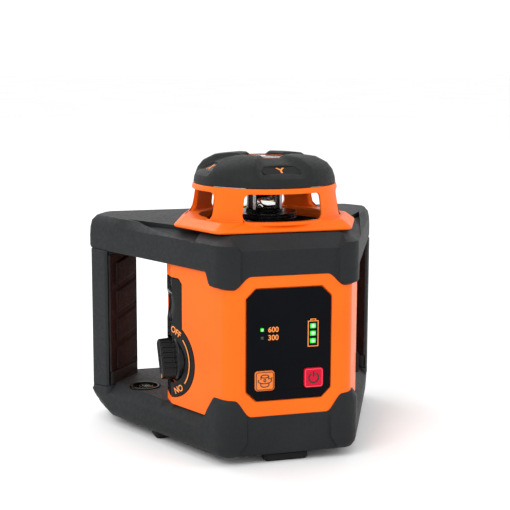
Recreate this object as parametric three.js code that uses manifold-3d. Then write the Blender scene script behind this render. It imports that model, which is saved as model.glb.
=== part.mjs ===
// Rotating laser level: an orange housing between a top and a bottom guard frame that are joined by
// two side grips, with a self-levelling pendulum inside that carries a spinning laser head.
// Millimetres, +Z up, the control panel faces -Y. While modelling, the head axis is X = Y = 0 and the
// feet stand on Z = 0; the finished group is moved along Y so that the middle of its footprint is the
// origin.
import * as THREE from "three";
import { mergeVertices } from "three/addons/utils/BufferGeometryUtils.js";
import Module from "manifold-3d";

const wasm = await Module();
wasm.setup();

// ---- Driving dimensions -------------------------------------------------------------------------
const GAP = 0.3; // between pieces that meet
const RUNNING = 0.08; // radial clearance of a pin in its bore
const ARC_STEPS = 3; // straight pieces in a rounded corner
const ROUND = 28; // sides of a large round piece
const SMALL_ROUND = 12; // sides of a small round piece

// Plan of the guard frames: a triangle with its three corners cut off.
const FRONT_Y = -57;
const FRONT_HALF = 43.5;
const SIDE_LENGTH = 144;
const SIDE_ANGLE = THREE.MathUtils.degToRad(65.8);
const END_LENGTH = 24;
const END_ANGLE = THREE.MathUtils.degToRad(120);
const END_X = FRONT_HALF + SIDE_LENGTH * Math.cos(SIDE_ANGLE);
const END_Y = FRONT_Y + SIDE_LENGTH * Math.sin(SIDE_ANGLE);
const BACK_X = END_X + END_LENGTH * Math.cos(END_ANGLE);
const BACK_Y = END_Y + END_LENGTH * Math.sin(END_ANGLE);
const WALL = 3;
const BASE_INSET = 7; // how far the frame's underside stands in from its side faces
const DECK_INSET = 6; // and the bottom frame's deck
const RECESS_HALF = 34.5; // the sunk band across the front of the top frame
const RECESS_DEEP = 1.8;
const WRAP_X = [33, FRONT_HALF + 8]; // where the frames fold over the housing's front corners
const WRAP_Y = [FRONT_Y - 2, FRONT_Y + 16];

// Heights.
const FLOOR_Z = 5;
const BOTTOM_FACE_Z = 21.3;
const BOTTOM_DECK_Z = 28.5;
const BOTTOM_LEDGE_Z = 32;
const BOTTOM_WRAP_Z = 43;
const TOP_WRAP_Z = 110.6;
const TOP_UNDER_Z = 120.3;
const TOP_BAND_Z = 134.3;
const TOP_FACE_Z = 137.6;
const TOP_DECK_Z = 143;
const CAGE_WINDOW_LOW = 149.5;
const CAGE_WINDOW_HIGH = 167;
const CAP_Z = 170;
const TOP_Z = 188.4;

// Housing.
const SHELL_FRONT_Y = -55;
const SHELL_FRONT_HALF = 40.3;
const SHELL_SIDE_X = 63;
const SIDE_FLAT_Y = [-5, 7];
const SHELL_BACK_HALF = 43;
const SHELL_BACK_Y = 86;

// Control panel and buttons.
const PANEL_WIDTH = 54;
const PANEL_LOW = 40.7;
const PANEL_HIGH = 110.4;
const PANEL_CHAMFER = 6;
const PANEL_THICK = 1.7;
const BUTTON_X = 15.8;
const BUTTON_Z = 53.4;
const BUTTON_SIZE = 12.4;

// Lock knob on the left side flat, and the charging port on the right one.
const KNOB_Y = -2;
const KNOB_Z = 58;
const KNOB_RECESS_R = 15.5;
const DIAL_R = 25;
const DIAL_STRIP_HALF = 13;
const DIAL_TOP_Z = 111.5;
const KNOB_OUT = 7;
const POCKET_X = -56.5;
const POINTER_ANGLE = THREE.MathUtils.degToRad(240);
const CAM_ANGLE = THREE.MathUtils.degToRad(240);
const SHAFT_R = 2.5;
const PORT_Y = 1;
const PORT_Z = 47;
const SOCKET_R = 4.6;
const SOCKET_BORE_R = 3.3;

// Grips: a bar across each cut-off corner of the frames.
const GRIP_Z = [29.8, 120];
const GRIP_PLAN = [
  [92.7, 51.5, 4],
  [101.8, 72.2, 5],
  [90.6, 92.6, 7],
  [76, 93, 5],
  [67, 82, 5],
];
const PAD_COUNT = 4;
const PAD_PITCH = 17;

// Pendulum, gimbal and rotor.
const PIVOT_Z = 130;
const PIN_R = 1.5;
const BORE_R = PIN_R + RUNNING;
const RING_INNER = 24;
const RING_OUTER = 30;
const RING_HALF = 3;
const PENDULUM_LOW_Z = 70;
const PENDULUM_WEIGHT_R = 22;
const WEIGHT_Z = [76, 90];
const WEIGHT_DEGREES = 72;
const BRAKE_LIFT = 2;
const BRAKE_CLEAR = 0.5;
const BRAKE_R = 20;
const HEAD_HOLE_R = 42;
const PULLEY_R = 21;
const GROOVE_R = 18;
const MOTOR_Y = 31;
const MOTOR_GROOVE_R = 4;
const BELT_Z = 149.25;
const ROTOR_R = 12;
const ROTOR_TOP = 167;
const THREAD_R = 7.9; // 5/8 inch tripod thread
const INSERT_TOP = 14;

// ---- Materials ----------------------------------------------------------------------------------
const finish = (color, roughness, metalness = 0) =>
  new THREE.MeshStandardMaterial({ color, roughness, metalness });
const ORANGE = finish(0xf8741f, 0.42);
const CHARCOAL = finish(0x343638, 0.68);
const RUBBER = finish(0x1c1816, 0.85);
const GLOSS_BLACK = finish(0x0b0b0e, 0.12);
const RED = finish(0xd02028, 0.35);
const GREEN = finish(0x35e060, 0.3);
const BRASS = finish(0xb5975a, 0.35, 1);
const STEEL = finish(0x9a9c9e, 0.3, 1);
const ALUMINIUM = finish(0xb4b6b8, 0.45, 1);
const GLASS = finish(0xcfe3da, 0.05);
const BOARD = finish(0x1c5a34, 0.55);
const CELL = finish(0x2c5fa8, 0.5);

// ---- Shape helpers ------------------------------------------------------------------------------
// A closed geometry as a solid, with its faces turned outwards.
function toSolid(geometry) {
  const bare = geometry.index ? geometry.toNonIndexed() : geometry.clone();
  bare.deleteAttribute("normal");
  bare.deleteAttribute("uv");
  const merged = mergeVertices(bare, 1e-4);
  const corners = merged.index.array;
  const kept = [];
  for (let i = 0; i < corners.length; i += 3) {
    const [a, b, c] = corners.subarray(i, i + 3);
    if (a !== b && b !== c && a !== c) kept.push(a, b, c);
  }
  const build = (triangles) =>
    new wasm.Manifold(
      new wasm.Mesh({
        numProp: 3,
        vertProperties: merged.attributes.position.array,
        triVerts: new Uint32Array(triangles),
      }),
    );
  const solid = build(kept);
  return solid.volume() > 0 ? solid : build(kept.reverse());
}

function toGeometry(solid) {
  const mesh = solid.getMesh();
  const geometry = new THREE.BufferGeometry();
  geometry.setAttribute("position", new THREE.BufferAttribute(mesh.vertProperties, 3));
  geometry.setIndex(new THREE.BufferAttribute(mesh.triVerts, 1));
  geometry.computeVertexNormals();
  return geometry;
}

const join = (first, ...rest) => rest.reduce((whole, piece) => whole.add(piece), first);
const cut = (first, ...rest) => rest.reduce((whole, piece) => whole.subtract(piece), first);

// Corners of a right half, front to back, as a whole plan that is symmetric about X = 0.
const mirrored = (half) => [
  ...half,
  ...half.map(([x, y, radius]) => [-x, y, radius]).reverse(),
];
const flipX = (corners) => corners.map(([x, y, radius]) => [-x, y, radius]).reverse();

// Points of a counter-clockwise plan whose corners [x, y, radius] are rounded.
function rounded(corners) {
  return corners.flatMap(([x, y, radius = 0], i) => {
    if (!radius) return [[x, y]];
    const corner = new THREE.Vector2(x, y);
    const toward = ([px, py]) => new THREE.Vector2(px, py).sub(corner).normalize();
    const back = toward(corners.at(i - 1));
    const ahead = toward(corners[(i + 1) % corners.length]);
    const half = back.angleTo(ahead) / 2;
    const middle = back.clone().add(ahead).normalize();
    const centre = corner.clone().addScaledVector(middle, radius / Math.sin(half));
    const reach = radius / Math.tan(half);
    const start = corner.clone().addScaledVector(back, reach).sub(centre);
    const end = corner.clone().addScaledVector(ahead, reach).sub(centre);
    let turn = end.angle() - start.angle();
    if (turn > Math.PI) turn -= 2 * Math.PI;
    if (turn < -Math.PI) turn += 2 * Math.PI;
    return Array.from({ length: ARC_STEPS + 1 }, (_, k) => {
      const angle = start.angle() + (turn * k) / ARC_STEPS;
      return [centre.x + radius * Math.cos(angle), centre.y + radius * Math.sin(angle)];
    });
  });
}

// The corners of a counter-clockwise plan moved inwards by a distance, or outwards if it is negative.
function inset(corners, distance) {
  return corners.map(([x, y, radius = 0], i) => {
    const [bx, by] = corners.at(i - 1);
    const [ax, ay] = corners[(i + 1) % corners.length];
    const before = new THREE.Vector2(by - y, x - bx).normalize();
    const after = new THREE.Vector2(y - ay, ax - x).normalize();
    const shift = before.clone().add(after);
    shift.multiplyScalar(distance / (1 + before.dot(after)));
    return [x + shift.x, y + shift.y, radius && Math.max(radius - distance, 0.8)];
  });
}

// A closed solid through a stack of [points, z] levels, all with the same number of points.
function loft(levels) {
  const count = levels[0][0].length;
  const positions = levels.flatMap(([points, z]) => points.flatMap(([x, y]) => [x, y, z]));
  const faces = [];
  for (let level = 0; level + 1 < levels.length; level++)
    for (let i = 0; i < count; i++) {
      const a = level * count + i;
      const b = level * count + ((i + 1) % count);
      faces.push(a, b, b + count, a, b + count, a + count);
    }
  const cap = ([points], offset, flip) => {
    const flat = points.map(([x, y]) => new THREE.Vector2(x, y));
    for (const [a, b, c] of THREE.ShapeUtils.triangulateShape(flat, []))
      faces.push(a + offset, (flip ? c : b) + offset, (flip ? b : c) + offset);
  };
  cap(levels[0], 0, true);
  cap(levels.at(-1), (levels.length - 1) * count, false);
  const geometry = new THREE.BufferGeometry();
  geometry.setAttribute("position", new THREE.Float32BufferAttribute(positions, 3));
  geometry.setIndex(faces);
  return toSolid(geometry);
}

const prism = (corners, low, high) =>
  loft([
    [rounded(corners), low],
    [rounded(corners), high],
  ]);
const box = ([x0, x1], [y0, y1], [z0, z1]) =>
  toSolid(
    new THREE.BoxGeometry(x1 - x0, y1 - y0, z1 - z0).translate(
      (x0 + x1) / 2,
      (y0 + y1) / 2,
      (z0 + z1) / 2,
    ),
  );

// A solid of revolution about the Z axis, from [radius, z] points.
function turned(profile, sides = ROUND) {
  const points = profile.map(([radius, z]) => new THREE.Vector2(radius, z));
  return toSolid(new THREE.LatheGeometry(points, sides).rotateX(Math.PI / 2));
}
const tube = (inner, outer, low, high, sides = ROUND) =>
  turned([[inner, low], [outer, low], [outer, high], [inner, high], [inner, low]], sides);
const disc = (radius, low, high, sides = ROUND) =>
  turned([[0, low], [radius, low], [radius, high], [0, high]], sides);

// A round bar along X or Y between two places, through the point [x, y, z] on its axis.
function rod(axis, radius, [from, to], [x, y, z], sides = SMALL_ROUND) {
  const bar = new THREE.CylinderGeometry(radius, radius, to - from, sides);
  const middle = (from + to) / 2;
  if (axis === "x") bar.rotateZ(Math.PI / 2).translate(middle, y, z);
  else bar.translate(x, middle, z);
  return toSolid(bar);
}

// A plan [[x, y], ...] stood up on the front of the object: x stays, y becomes height.
function standing(corners, [front, back]) {
  const shape = new THREE.Shape(rounded(corners).map(([x, y]) => new THREE.Vector2(x, y)));
  const slab = new THREE.ExtrudeGeometry(shape, { depth: back - front, bevelEnabled: false });
  return toSolid(slab.rotateX(Math.PI / 2).translate(0, back, 0));
}

// An outline of [y, z] points pushed along X.
function sideways(points, [from, to]) {
  const shape = new THREE.Shape(points.map(([y, z]) => new THREE.Vector2(y, z)));
  const slab = new THREE.ExtrudeGeometry(shape, { depth: to - from, bevelEnabled: false });
  slab.rotateZ(Math.PI / 2).rotateY(Math.PI / 2).translate(from, 0, 0);
  return toSolid(slab);
}

const ordered = (a, b) => [Math.min(a, b), Math.max(a, b)];
const rectangle = (x0, x1, y0, y1, radius = 0) => [
  [x0, y0, radius],
  [x1, y0, radius],
  [x1, y1, radius],
  [x0, y1, radius],
];
const ellipse = (a, b, sides = ROUND) =>
  Array.from({ length: sides }, (_, k) => {
    const angle = (2 * Math.PI * k) / sides;
    return [a * Math.cos(angle), b * Math.sin(angle)];
  });

const level = new THREE.Group();
function add(name, solid, material) {
  const mesh = new THREE.Mesh(toGeometry(solid), material);
  mesh.name = name;
  level.add(mesh);
}

// ---- Plans shared by several pieces -------------------------------------------------------------
const alongSide = (length) => [
  FRONT_HALF + length * Math.cos(SIDE_ANGLE),
  FRONT_Y + length * Math.sin(SIDE_ANGLE),
];
const framePlan = mirrored([
  [FRONT_HALF, FRONT_Y, 11],
  alongSide(50),
  alongSide(112),
  [END_X, END_Y, 7],
  [BACK_X, BACK_Y, 10],
]);
const deckPlan = mirrored([
  [36, -45, 8],
  [56, -4],
  [86, 44],
  [96, 73, 5],
  [87, 87, 8],
]);
const shellPlan = mirrored([
  [SHELL_FRONT_HALF, SHELL_FRONT_Y, 8],
  [SHELL_SIDE_X, SIDE_FLAT_Y[0], 6],
  [SHELL_SIDE_X, SIDE_FLAT_Y[1], 6],
  [46, 54, 10],
  [SHELL_BACK_HALF, SHELL_BACK_Y, 6],
]);
const shellInside = inset(shellPlan, WALL);

// ---- Guard frames and grips ---------------------------------------------------------------------
// A lip of frame that folds over one front corner of the housing, between two heights.
function cornerWraps(low, high) {
  const span = [low - 1, high + 1];
  const skin = cut(prism(framePlan, low, high), prism(inset(shellPlan, -GAP), ...span));
  const [near, far] = WRAP_X;
  return [[near, far], [-far, -near]].map((x) => skin.intersect(box(x, WRAP_Y, span)));
}
function frontRecess(low, high) {
  const mouth = RECESS_HALF + 2.5;
  const [outside, floor] = [FRONT_Y - 3, FRONT_Y + RECESS_DEEP];
  const plan = [[-mouth, outside], [mouth, outside], [RECESS_HALF, floor], [-RECESS_HALF, floor]];
  return prism(plan, low, high);
}

function topFrame() {
  const outline = rounded(framePlan);
  const outer = loft([
    [rounded(inset(framePlan, 1.5)), TOP_UNDER_Z],
    [outline, TOP_UNDER_Z + 2],
    [outline, TOP_FACE_Z],
    [rounded(deckPlan), TOP_DECK_Z],
  ]);
  const hollow = loft([
    [rounded(inset(framePlan, WALL)), TOP_UNDER_Z + WALL],
    [rounded(inset(framePlan, WALL)), TOP_FACE_Z - WALL / 2],
    [rounded(inset(deckPlan, WALL)), TOP_DECK_Z - WALL],
  ]);
  const underHole = prism(shellInside, TOP_UNDER_Z - 1, TOP_UNDER_Z + WALL + 1);
  const headHole = disc(HEAD_HOLE_R, TOP_DECK_Z - WALL - 4, TOP_DECK_Z + 1);
  const frontSlope = sideways(
    [
      [FRONT_Y - 3, TOP_BAND_Z],
      [FRONT_Y + RECESS_DEEP, TOP_BAND_Z],
      [FRONT_Y + WALL + 8, TOP_DECK_Z + 0.2],
      [FRONT_Y - 3, TOP_DECK_Z + 6],
    ],
    [-RECESS_HALF, RECESS_HALF],
  );
  return cut(
    join(outer, ...cornerWraps(TOP_WRAP_Z, TOP_UNDER_Z + 2)),
    hollow,
    underHole,
    headHole,
    frontRecess(TOP_WRAP_Z - 1, TOP_BAND_Z + 0.1),
    frontSlope,
  );
}

const VIAL = { x: -71, y: 43, r: 10, low: 17 };
const BASE_HOLE_R = 38.4;

function bottomFrame() {
  const outline = rounded(framePlan);
  const outer = loft([
    [rounded(inset(framePlan, BASE_INSET)), FLOOR_Z],
    [outline, FLOOR_Z + 5],
    [outline, BOTTOM_FACE_Z],
    [rounded(inset(framePlan, DECK_INSET)), BOTTOM_DECK_Z],
  ]);
  const corners = [GRIP_PLAN, flipX(GRIP_PLAN)].map((plan) =>
    prism(plan, FLOOR_Z + 8, GRIP_Z[0] - GAP),
  );
  const hollow = loft([
    [rounded(inset(framePlan, BASE_INSET + 1)), FLOOR_Z + WALL],
    [rounded(inset(framePlan, WALL)), FLOOR_Z + 6],
    [rounded(inset(framePlan, WALL)), BOTTOM_FACE_Z - WALL / 2],
    [rounded(inset(framePlan, DECK_INSET + 2)), BOTTOM_DECK_Z - WALL],
  ]);
  const shellHole = prism(shellInside, BOTTOM_DECK_Z - WALL - 1, BOTTOM_DECK_Z + 1);
  const baseHole = disc(BASE_HOLE_R, FLOOR_Z - 1, FLOOR_Z + WALL + 1);
  const vialHole = disc(VIAL.r + GAP, VIAL.low - GAP, BOTTOM_DECK_Z + 2, 24);
  // The front face stands up to a ledge below the control panel.
  const [half, behind] = [38, SHELL_FRONT_Y - GAP];
  const ledge = [[-half, FRONT_Y], [half, FRONT_Y], [half - 2, behind], [2 - half, behind]];
  const frontFace = prism(ledge, BOTTOM_FACE_Z - 2, BOTTOM_LEDGE_Z);
  const shellRoom = prism(inset(shellPlan, -GAP), BOTTOM_DECK_Z, BOTTOM_WRAP_Z + 2);
  return cut(
    join(outer, frontFace, ...corners, ...cornerWraps(BOTTOM_FACE_Z, BOTTOM_WRAP_Z)),
    hollow,
    shellHole,
    baseHole,
    vialHole.translate([VIAL.x, VIAL.y, 0]),
    shellRoom,
  );
}

// One grip bar, and its rubber insert with finger pads on the inner face.
const innerFrom = new THREE.Vector2(GRIP_PLAN[0][0], GRIP_PLAN[0][1]);
const innerTo = new THREE.Vector2(GRIP_PLAN[4][0], GRIP_PLAN[4][1]);
const innerAlong = innerTo.clone().sub(innerFrom);
const innerLength = innerAlong.length();
innerAlong.normalize();
const innerNormal = new THREE.Vector2(-innerAlong.y, innerAlong.x);
// A plan rectangle on the grip's inner face: along it between two distances, and proud of it from
// one depth to another.
function onInnerFace([from, to], [deep, proud]) {
  const point = (along, out) => [
    innerFrom.x + innerAlong.x * along + innerNormal.x * out,
    innerFrom.y + innerAlong.y * along + innerNormal.y * out,
  ];
  return [point(from, deep), point(to, deep), point(to, proud), point(from, proud)];
}
const PAD_Z = (GRIP_Z[0] + GRIP_Z[1]) / 2;
const PAD_HALF = (PAD_COUNT * PAD_PITCH) / 2 + 3;
const PAD_DEEP = 2.5; // depth of the pocket that holds the insert
const PAD_MARGIN = 5; // from the pocket to the grip's edges
const onSide = (plan, side) => (side < 0 ? flipX(plan) : plan);

function grip(side) {
  const pocket = onInnerFace([PAD_MARGIN, innerLength - PAD_MARGIN], [-PAD_DEEP, 3]);
  return cut(
    prism(onSide(GRIP_PLAN, side), ...GRIP_Z),
    prism(onSide(pocket, side), PAD_Z - PAD_HALF, PAD_Z + PAD_HALF),
  );
}

function gripPad(side) {
  const edge = PAD_MARGIN + GAP;
  const plate = onInnerFace([edge, innerLength - edge], [GAP - PAD_DEEP, -0.5]);
  const pad = onInnerFace([edge + 2.7, innerLength - edge - 2.7], [-1, 0.8]);
  const padHalf = PAD_PITCH / 2 - 1.5;
  const pads = Array.from({ length: PAD_COUNT }, (_, k) => {
    const middle = PAD_Z + (k - (PAD_COUNT - 1) / 2) * PAD_PITCH;
    return prism(onSide(pad, side), middle - padHalf, middle + padHalf);
  });
  const inner = PAD_HALF - GAP;
  return join(prism(onSide(plate, side), PAD_Z - inner, PAD_Z + inner), ...pads);
}

// ---- Housing ------------------------------------------------------------------------------------
const SHELL_Z = [BOTTOM_DECK_Z + GAP, TOP_UNDER_Z - GAP];
const COVER_Z = [34, 96];
const COVER_HALF = 32;
const BOARD_WINDOW = rectangle(-22.5, 22.5, 46.5, 102); // behind the panel, for its board

// The dial's outline on the left side: a strip with a round end about the knob, as [y, z] points.
function dialOutline(shrink) {
  const radius = DIAL_R - shrink;
  const half = DIAL_STRIP_HALF - shrink;
  const top = DIAL_TOP_Z - shrink;
  const shoulder = Math.acos(half / radius);
  const steps = 24;
  const arc = Array.from({ length: steps + 1 }, (_, k) => {
    const angle = Math.PI - shoulder + ((Math.PI + 2 * shoulder) * k) / steps;
    return [KNOB_Y + radius * Math.cos(angle), KNOB_Z + radius * Math.sin(angle)];
  });
  return [[KNOB_Y + half, top], [KNOB_Y - half, top], ...arc];
}
const DIAL_DEEP = 0.9;
// A layer of the housing's skin between two depths, inside the dial's outline.
const dialSkin = (shallow, deep, shrink) =>
  cut(
    prism(inset(shellPlan, shallow), 20, 120),
    prism(inset(shellPlan, deep), 10, 130),
  ).intersect(sideways(dialOutline(shrink), [-80, -45]));
const KNOB_AXIS = [0, KNOB_Y, KNOB_Z];
const PORT_AXIS = [0, PORT_Y, PORT_Z];
const knobPocket = (deep) => rod("x", KNOB_RECESS_R, [-80, deep], KNOB_AXIS, ROUND);

function bodyShell() {
  const front = SHELL_FRONT_Y - 1;
  const through = [SHELL_SIDE_X - WALL - 1, SHELL_SIDE_X + 1];
  const tube = cut(prism(shellPlan, ...SHELL_Z), prism(shellInside, SHELL_Z[0] - 1, SHELL_Z[1] + 1));
  const cupBehindPocket = rod("x", KNOB_RECESS_R + 2, [-SHELL_SIDE_X, POCKET_X + 2], KNOB_AXIS, ROUND);
  return cut(
    join(tube, cupBehindPocket.intersect(prism(inset(shellPlan, 1), ...SHELL_Z))),
    dialSkin(-1, DIAL_DEEP, 0),
    knobPocket(POCKET_X),
    rod("x", SHAFT_R + 0.9, [POCKET_X - 1, POCKET_X + 4], KNOB_AXIS),
    standing(panelOutline(GAP), [front, SHELL_FRONT_Y + PANEL_THICK + GAP]),
    standing(BOARD_WINDOW, [front, SHELL_FRONT_Y + WALL + 1]),
    standing(coverPlan(0), [SHELL_BACK_Y - WALL - 1, SHELL_BACK_Y + 1]),
    rod("x", SOCKET_R + GAP, through, PORT_AXIS),
  );
}

function panelOutline(grow) {
  const half = PANEL_WIDTH / 2 + grow;
  const c = PANEL_CHAMFER;
  const [low, high] = [PANEL_LOW - grow, PANEL_HIGH + grow];
  return [
    [-half + c, low],
    [half - c, low],
    [half, low + c],
    [half, high - c],
    [half - c, high],
    [-half + c, high],
    [-half, high - c],
    [-half, low + c],
  ];
}

const LEDS = [
  ["speed_led_fast", -17.3, 85.2, 2, 2],
  ["speed_led_slow", -17.3, 80.2, 2, 2],
  ["battery_led_top", 15.4, 86, 3.6, 3],
  ["battery_led_middle", 15.4, 81.3, 3.6, 3],
  ["battery_led_bottom", 15.4, 76.6, 3.6, 3],
];
const squareAt = (x, z, w, h, grow, radius = 0) =>
  rectangle(x - w / 2 - grow, x + w / 2 + grow, z - h / 2 - grow, z + h / 2 + grow, radius);
const PANEL_Y = [SHELL_FRONT_Y + GAP, SHELL_FRONT_Y + PANEL_THICK];

function controlPanel() {
  const through = [SHELL_FRONT_Y - 1, SHELL_FRONT_Y + WALL];
  const buttons = [-BUTTON_X, BUTTON_X].map((x) =>
    standing(squareAt(x, BUTTON_Z, BUTTON_SIZE, BUTTON_SIZE, GAP, 2), through),
  );
  const lights = LEDS.map(([, x, z, w, h]) => standing(squareAt(x, z, w, h, 0.15), through));
  return cut(standing(panelOutline(0), PANEL_Y), ...buttons, ...lights);
}
function button(x) {
  const face = squareAt(x, BUTTON_Z, BUTTON_SIZE, BUTTON_SIZE, 0, 1.8);
  const stem = squareAt(x, BUTTON_Z, 5, 5, 0);
  return join(
    standing(face, [SHELL_FRONT_Y - 0.8, SHELL_FRONT_Y + 2.2]),
    standing(stem, [SHELL_FRONT_Y + 2, SHELL_FRONT_Y + 5.4]),
  );
}
const mainBoard = () => box([-34, 34], [SHELL_FRONT_Y + 8.5, SHELL_FRONT_Y + 10], [36, 106]);
const keySwitch = (x) =>
  box([x - 3, x + 3], [SHELL_FRONT_Y + 6.5, SHELL_FRONT_Y + 8.2], [BUTTON_Z - 3, BUTTON_Z + 3]);

// The battery cover closes the back of the housing; two screws hold it.
const SCREW_R = 1.3;
const SCREW_HEAD_R = 2.6;
const screwAxis = (side) => [side * 25, 0, 90];
const coverPlan = (shrink) =>
  inset(rectangle(-COVER_HALF, COVER_HALF, ...COVER_Z, 4), shrink);
function batteryCover() {
  const holes = [-1, 1].flatMap((side) => [
    rod("y", SCREW_HEAD_R + GAP, [SHELL_BACK_Y - 1.3, SHELL_BACK_Y + 1], screwAxis(side)),
    rod("y", SCREW_R + GAP, [SHELL_BACK_Y - 5, SHELL_BACK_Y], screwAxis(side)),
  ]);
  return cut(standing(coverPlan(GAP), [SHELL_BACK_Y - WALL, SHELL_BACK_Y]), ...holes);
}
const coverScrew = (side) =>
  join(
    rod("y", SCREW_HEAD_R, [SHELL_BACK_Y - 1, SHELL_BACK_Y - 0.1], screwAxis(side)),
    rod("y", SCREW_R, [SHELL_BACK_Y - 8, SHELL_BACK_Y - 0.9], screwAxis(side)),
  );
const batteryPack = () => prism(rectangle(-29, 29, 54, 82, 7), COVER_Z[0], 87);

// A round socket for the charger's plug, and the rubber flap that hangs over it from its top edge.
const chargingSocket = () =>
  cut(
    rod("x", SOCKET_R, [SHELL_SIDE_X - 9, SHELL_SIDE_X - 0.4], PORT_AXIS),
    rod("x", SOCKET_BORE_R, [SHELL_SIDE_X - 7, SHELL_SIDE_X + 1], PORT_AXIS),
  );
const portCover = () =>
  box([SHELL_SIDE_X + GAP, SHELL_SIDE_X + 2.3], [PORT_Y - 6, PORT_Y + 6], [PORT_Z - 7, PORT_Z + 7]);

// ---- Round spirit level in the bottom frame's deck -------------------------------------------------
const VIAL_TOP = BOTTOM_DECK_Z + 0.5;
const atVial = (solid) => solid.translate([VIAL.x, VIAL.y, 0]);
function vialCup() {
  const inner = VIAL.r - 1.3;
  return atVial(
    turned(
      [
        [0, VIAL.low],
        [VIAL.r, VIAL.low],
        [VIAL.r, VIAL_TOP],
        [inner, VIAL_TOP],
        [inner, VIAL.low + 2],
        [0, VIAL.low + 2],
      ],
      24,
    ),
  );
}
const vialGlass = () => atVial(disc(VIAL.r - 1.3 - GAP, VIAL.low + 2 + GAP, VIAL_TOP - 0.5, 24));

// ---- Lock knob, its shaft with a cam, and the brake ----------------------------------------------
const SKIRT_X = -61.5;
function lockKnob() {
  const [tip, deep] = [-SHELL_SIDE_X - KNOB_OUT, POCKET_X - GAP];
  const skirt = rod("x", KNOB_RECESS_R - 0.8, [SKIRT_X, deep], KNOB_AXIS, ROUND);
  const bar = new THREE.BoxGeometry(KNOB_OUT + 4, 28, 11);
  bar.rotateX(POINTER_ANGLE).translate(tip + KNOB_OUT / 2 + 2, KNOB_Y, KNOB_Z);
  const barRound = rod("x", KNOB_RECESS_R - 1.7, [tip, deep], KNOB_AXIS, ROUND);
  return join(skirt, toSolid(bar).intersect(barRound));
}
// At rest the cam points down and away from the brake; turning the knob by 120 degrees brings it up.
const CAM_R = 4;
const CAM_OFFSET = 1.22;
const CAM_X = [-24, -15];
function lockShaft() {
  const y = KNOB_Y + CAM_OFFSET * Math.cos(CAM_ANGLE);
  const z = KNOB_Z + CAM_OFFSET * Math.sin(CAM_ANGLE);
  return join(
    rod("x", SHAFT_R, [POCKET_X, CAM_X[1] + 1], KNOB_AXIS),
    rod("x", CAM_R, CAM_X, [0, y, z], 24),
  );
}

// Points on a sphere about the pivot, from the axis out to a radius, as [radius, z].
function sphereBelow(radius, reach, steps = 4) {
  return Array.from({ length: steps + 1 }, (_, k) => {
    const r = (reach * k) / steps;
    return [r, PIVOT_Z - Math.sqrt(radius * radius - r * r)];
  });
}
const CUP_SPHERE = PIVOT_Z - PENDULUM_LOW_Z + BRAKE_LIFT + BRAKE_CLEAR;
const CUP_LOW = KNOB_Z + CAM_R - 1 + BRAKE_CLEAR;
const STEM_R = 4;
const brakeCup = () =>
  turned([
    [0, 42],
    [STEM_R, 42],
    [STEM_R, CUP_LOW],
    [BRAKE_R, CUP_LOW],
    ...sphereBelow(CUP_SPHERE, BRAKE_R).reverse(),
  ]);
// The guide that the brake's stem slides in, standing on the tripod insert.
const GUIDE_Z = [INSERT_TOP + GAP, 50];
function brakeGuide() {
  const [low, high] = GUIDE_Z;
  const bore = STEM_R + RUNNING;
  return turned([
    [bore, low],
    [16, low],
    [16, low + 2.7],
    [7, low + 3.7],
    [7, high],
    [bore, high],
    [bore, low],
  ]);
}

// ---- Gimbal and pendulum ------------------------------------------------------------------------
const PIVOT = [0, 0, PIVOT_Z];
const BRACKET_Z = [110, 113];
const LEG_RADIUS = 36.5;
function gimbalBracket() {
  const ears = [-1, 1].map((side) =>
    box(ordered(33 * side, 38 * side), [-5, 5], [BRACKET_Z[0] + 1, PIVOT_Z + 4.5]),
  );
  const legs = [30, 150, 270].map((degrees) => {
    const angle = THREE.MathUtils.degToRad(degrees);
    const leg = disc(3.5, 11.6, BRACKET_Z[0] + 1, 12);
    return leg.translate([LEG_RADIUS * Math.cos(angle), LEG_RADIUS * Math.sin(angle), 0]);
  });
  return cut(
    join(tube(32, 41, ...BRACKET_Z), ...ears, ...legs),
    rod("x", BORE_R, [-45, 45], PIVOT),
  );
}
const pivotPin = (axis, side, [near, far]) =>
  rod(axis, PIN_R, ordered(near * side, far * side), PIVOT);
const gimbalRing = () =>
  cut(
    tube(RING_INNER, RING_OUTER, PIVOT_Z - RING_HALF, PIVOT_Z + RING_HALF),
    rod("x", BORE_R, [-40, 40], PIVOT),
    rod("y", BORE_R, [-40, 40], PIVOT),
  );

const LASER_R = 7;
const BEARING_SEAT_Z = 134;
const ARM_TOP = 138.5; // of the arm that carries the motor behind the stem
function pendulumBody() {
  const stem = turned([
    ...sphereBelow(PIVOT_Z - PENDULUM_LOW_Z, PENDULUM_WEIGHT_R),
    [PENDULUM_WEIGHT_R, 88],
    [14, 93],
    [14, 122],
    [19, 126.5],
    [19, 134],
    [14, 135],
    [14, 139],
    [11.3, 139],
    [11.3, BEARING_SEAT_Z],
    [LASER_R + GAP, BEARING_SEAT_Z],
    [LASER_R + GAP, 76],
    [0, 76],
  ]);
  const arm = box([-8, 8], [12, MOTOR_Y + 8], [ARM_TOP - 2, ARM_TOP]);
  const motorArm = cut(arm, disc(12.5, ARM_TOP - 8, ARM_TOP + 4));
  const bores = [[-30, -14], [14, 30]].map((span) => rod("y", BORE_R, span, PIVOT));
  return cut(join(stem, motorArm), ...bores);
}

const LASER_TOP = 112;
function collimatorLens() {
  const low = LASER_TOP + 0.4;
  return turned([[0, low], [5, low], [5, low + 1.2], [3, low + 2.2], [0, low + 2.6]], 24);
}

// A part ring of brass on the pendulum's front that balances the motor on its back.
function balanceWeight() {
  const half = THREE.MathUtils.degToRad(WEIGHT_DEGREES / 2);
  const far = 40;
  const [x, y] = [far * Math.sin(half), -far * Math.cos(half)];
  const wedge = prism([[0, 0], [-x, y], [x, y]], WEIGHT_Z[0] - 1, WEIGHT_Z[1] + 1);
  const inner = PENDULUM_WEIGHT_R + GAP;
  return tube(inner, inner + 5, ...WEIGHT_Z, 48).intersect(wedge);
}

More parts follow.
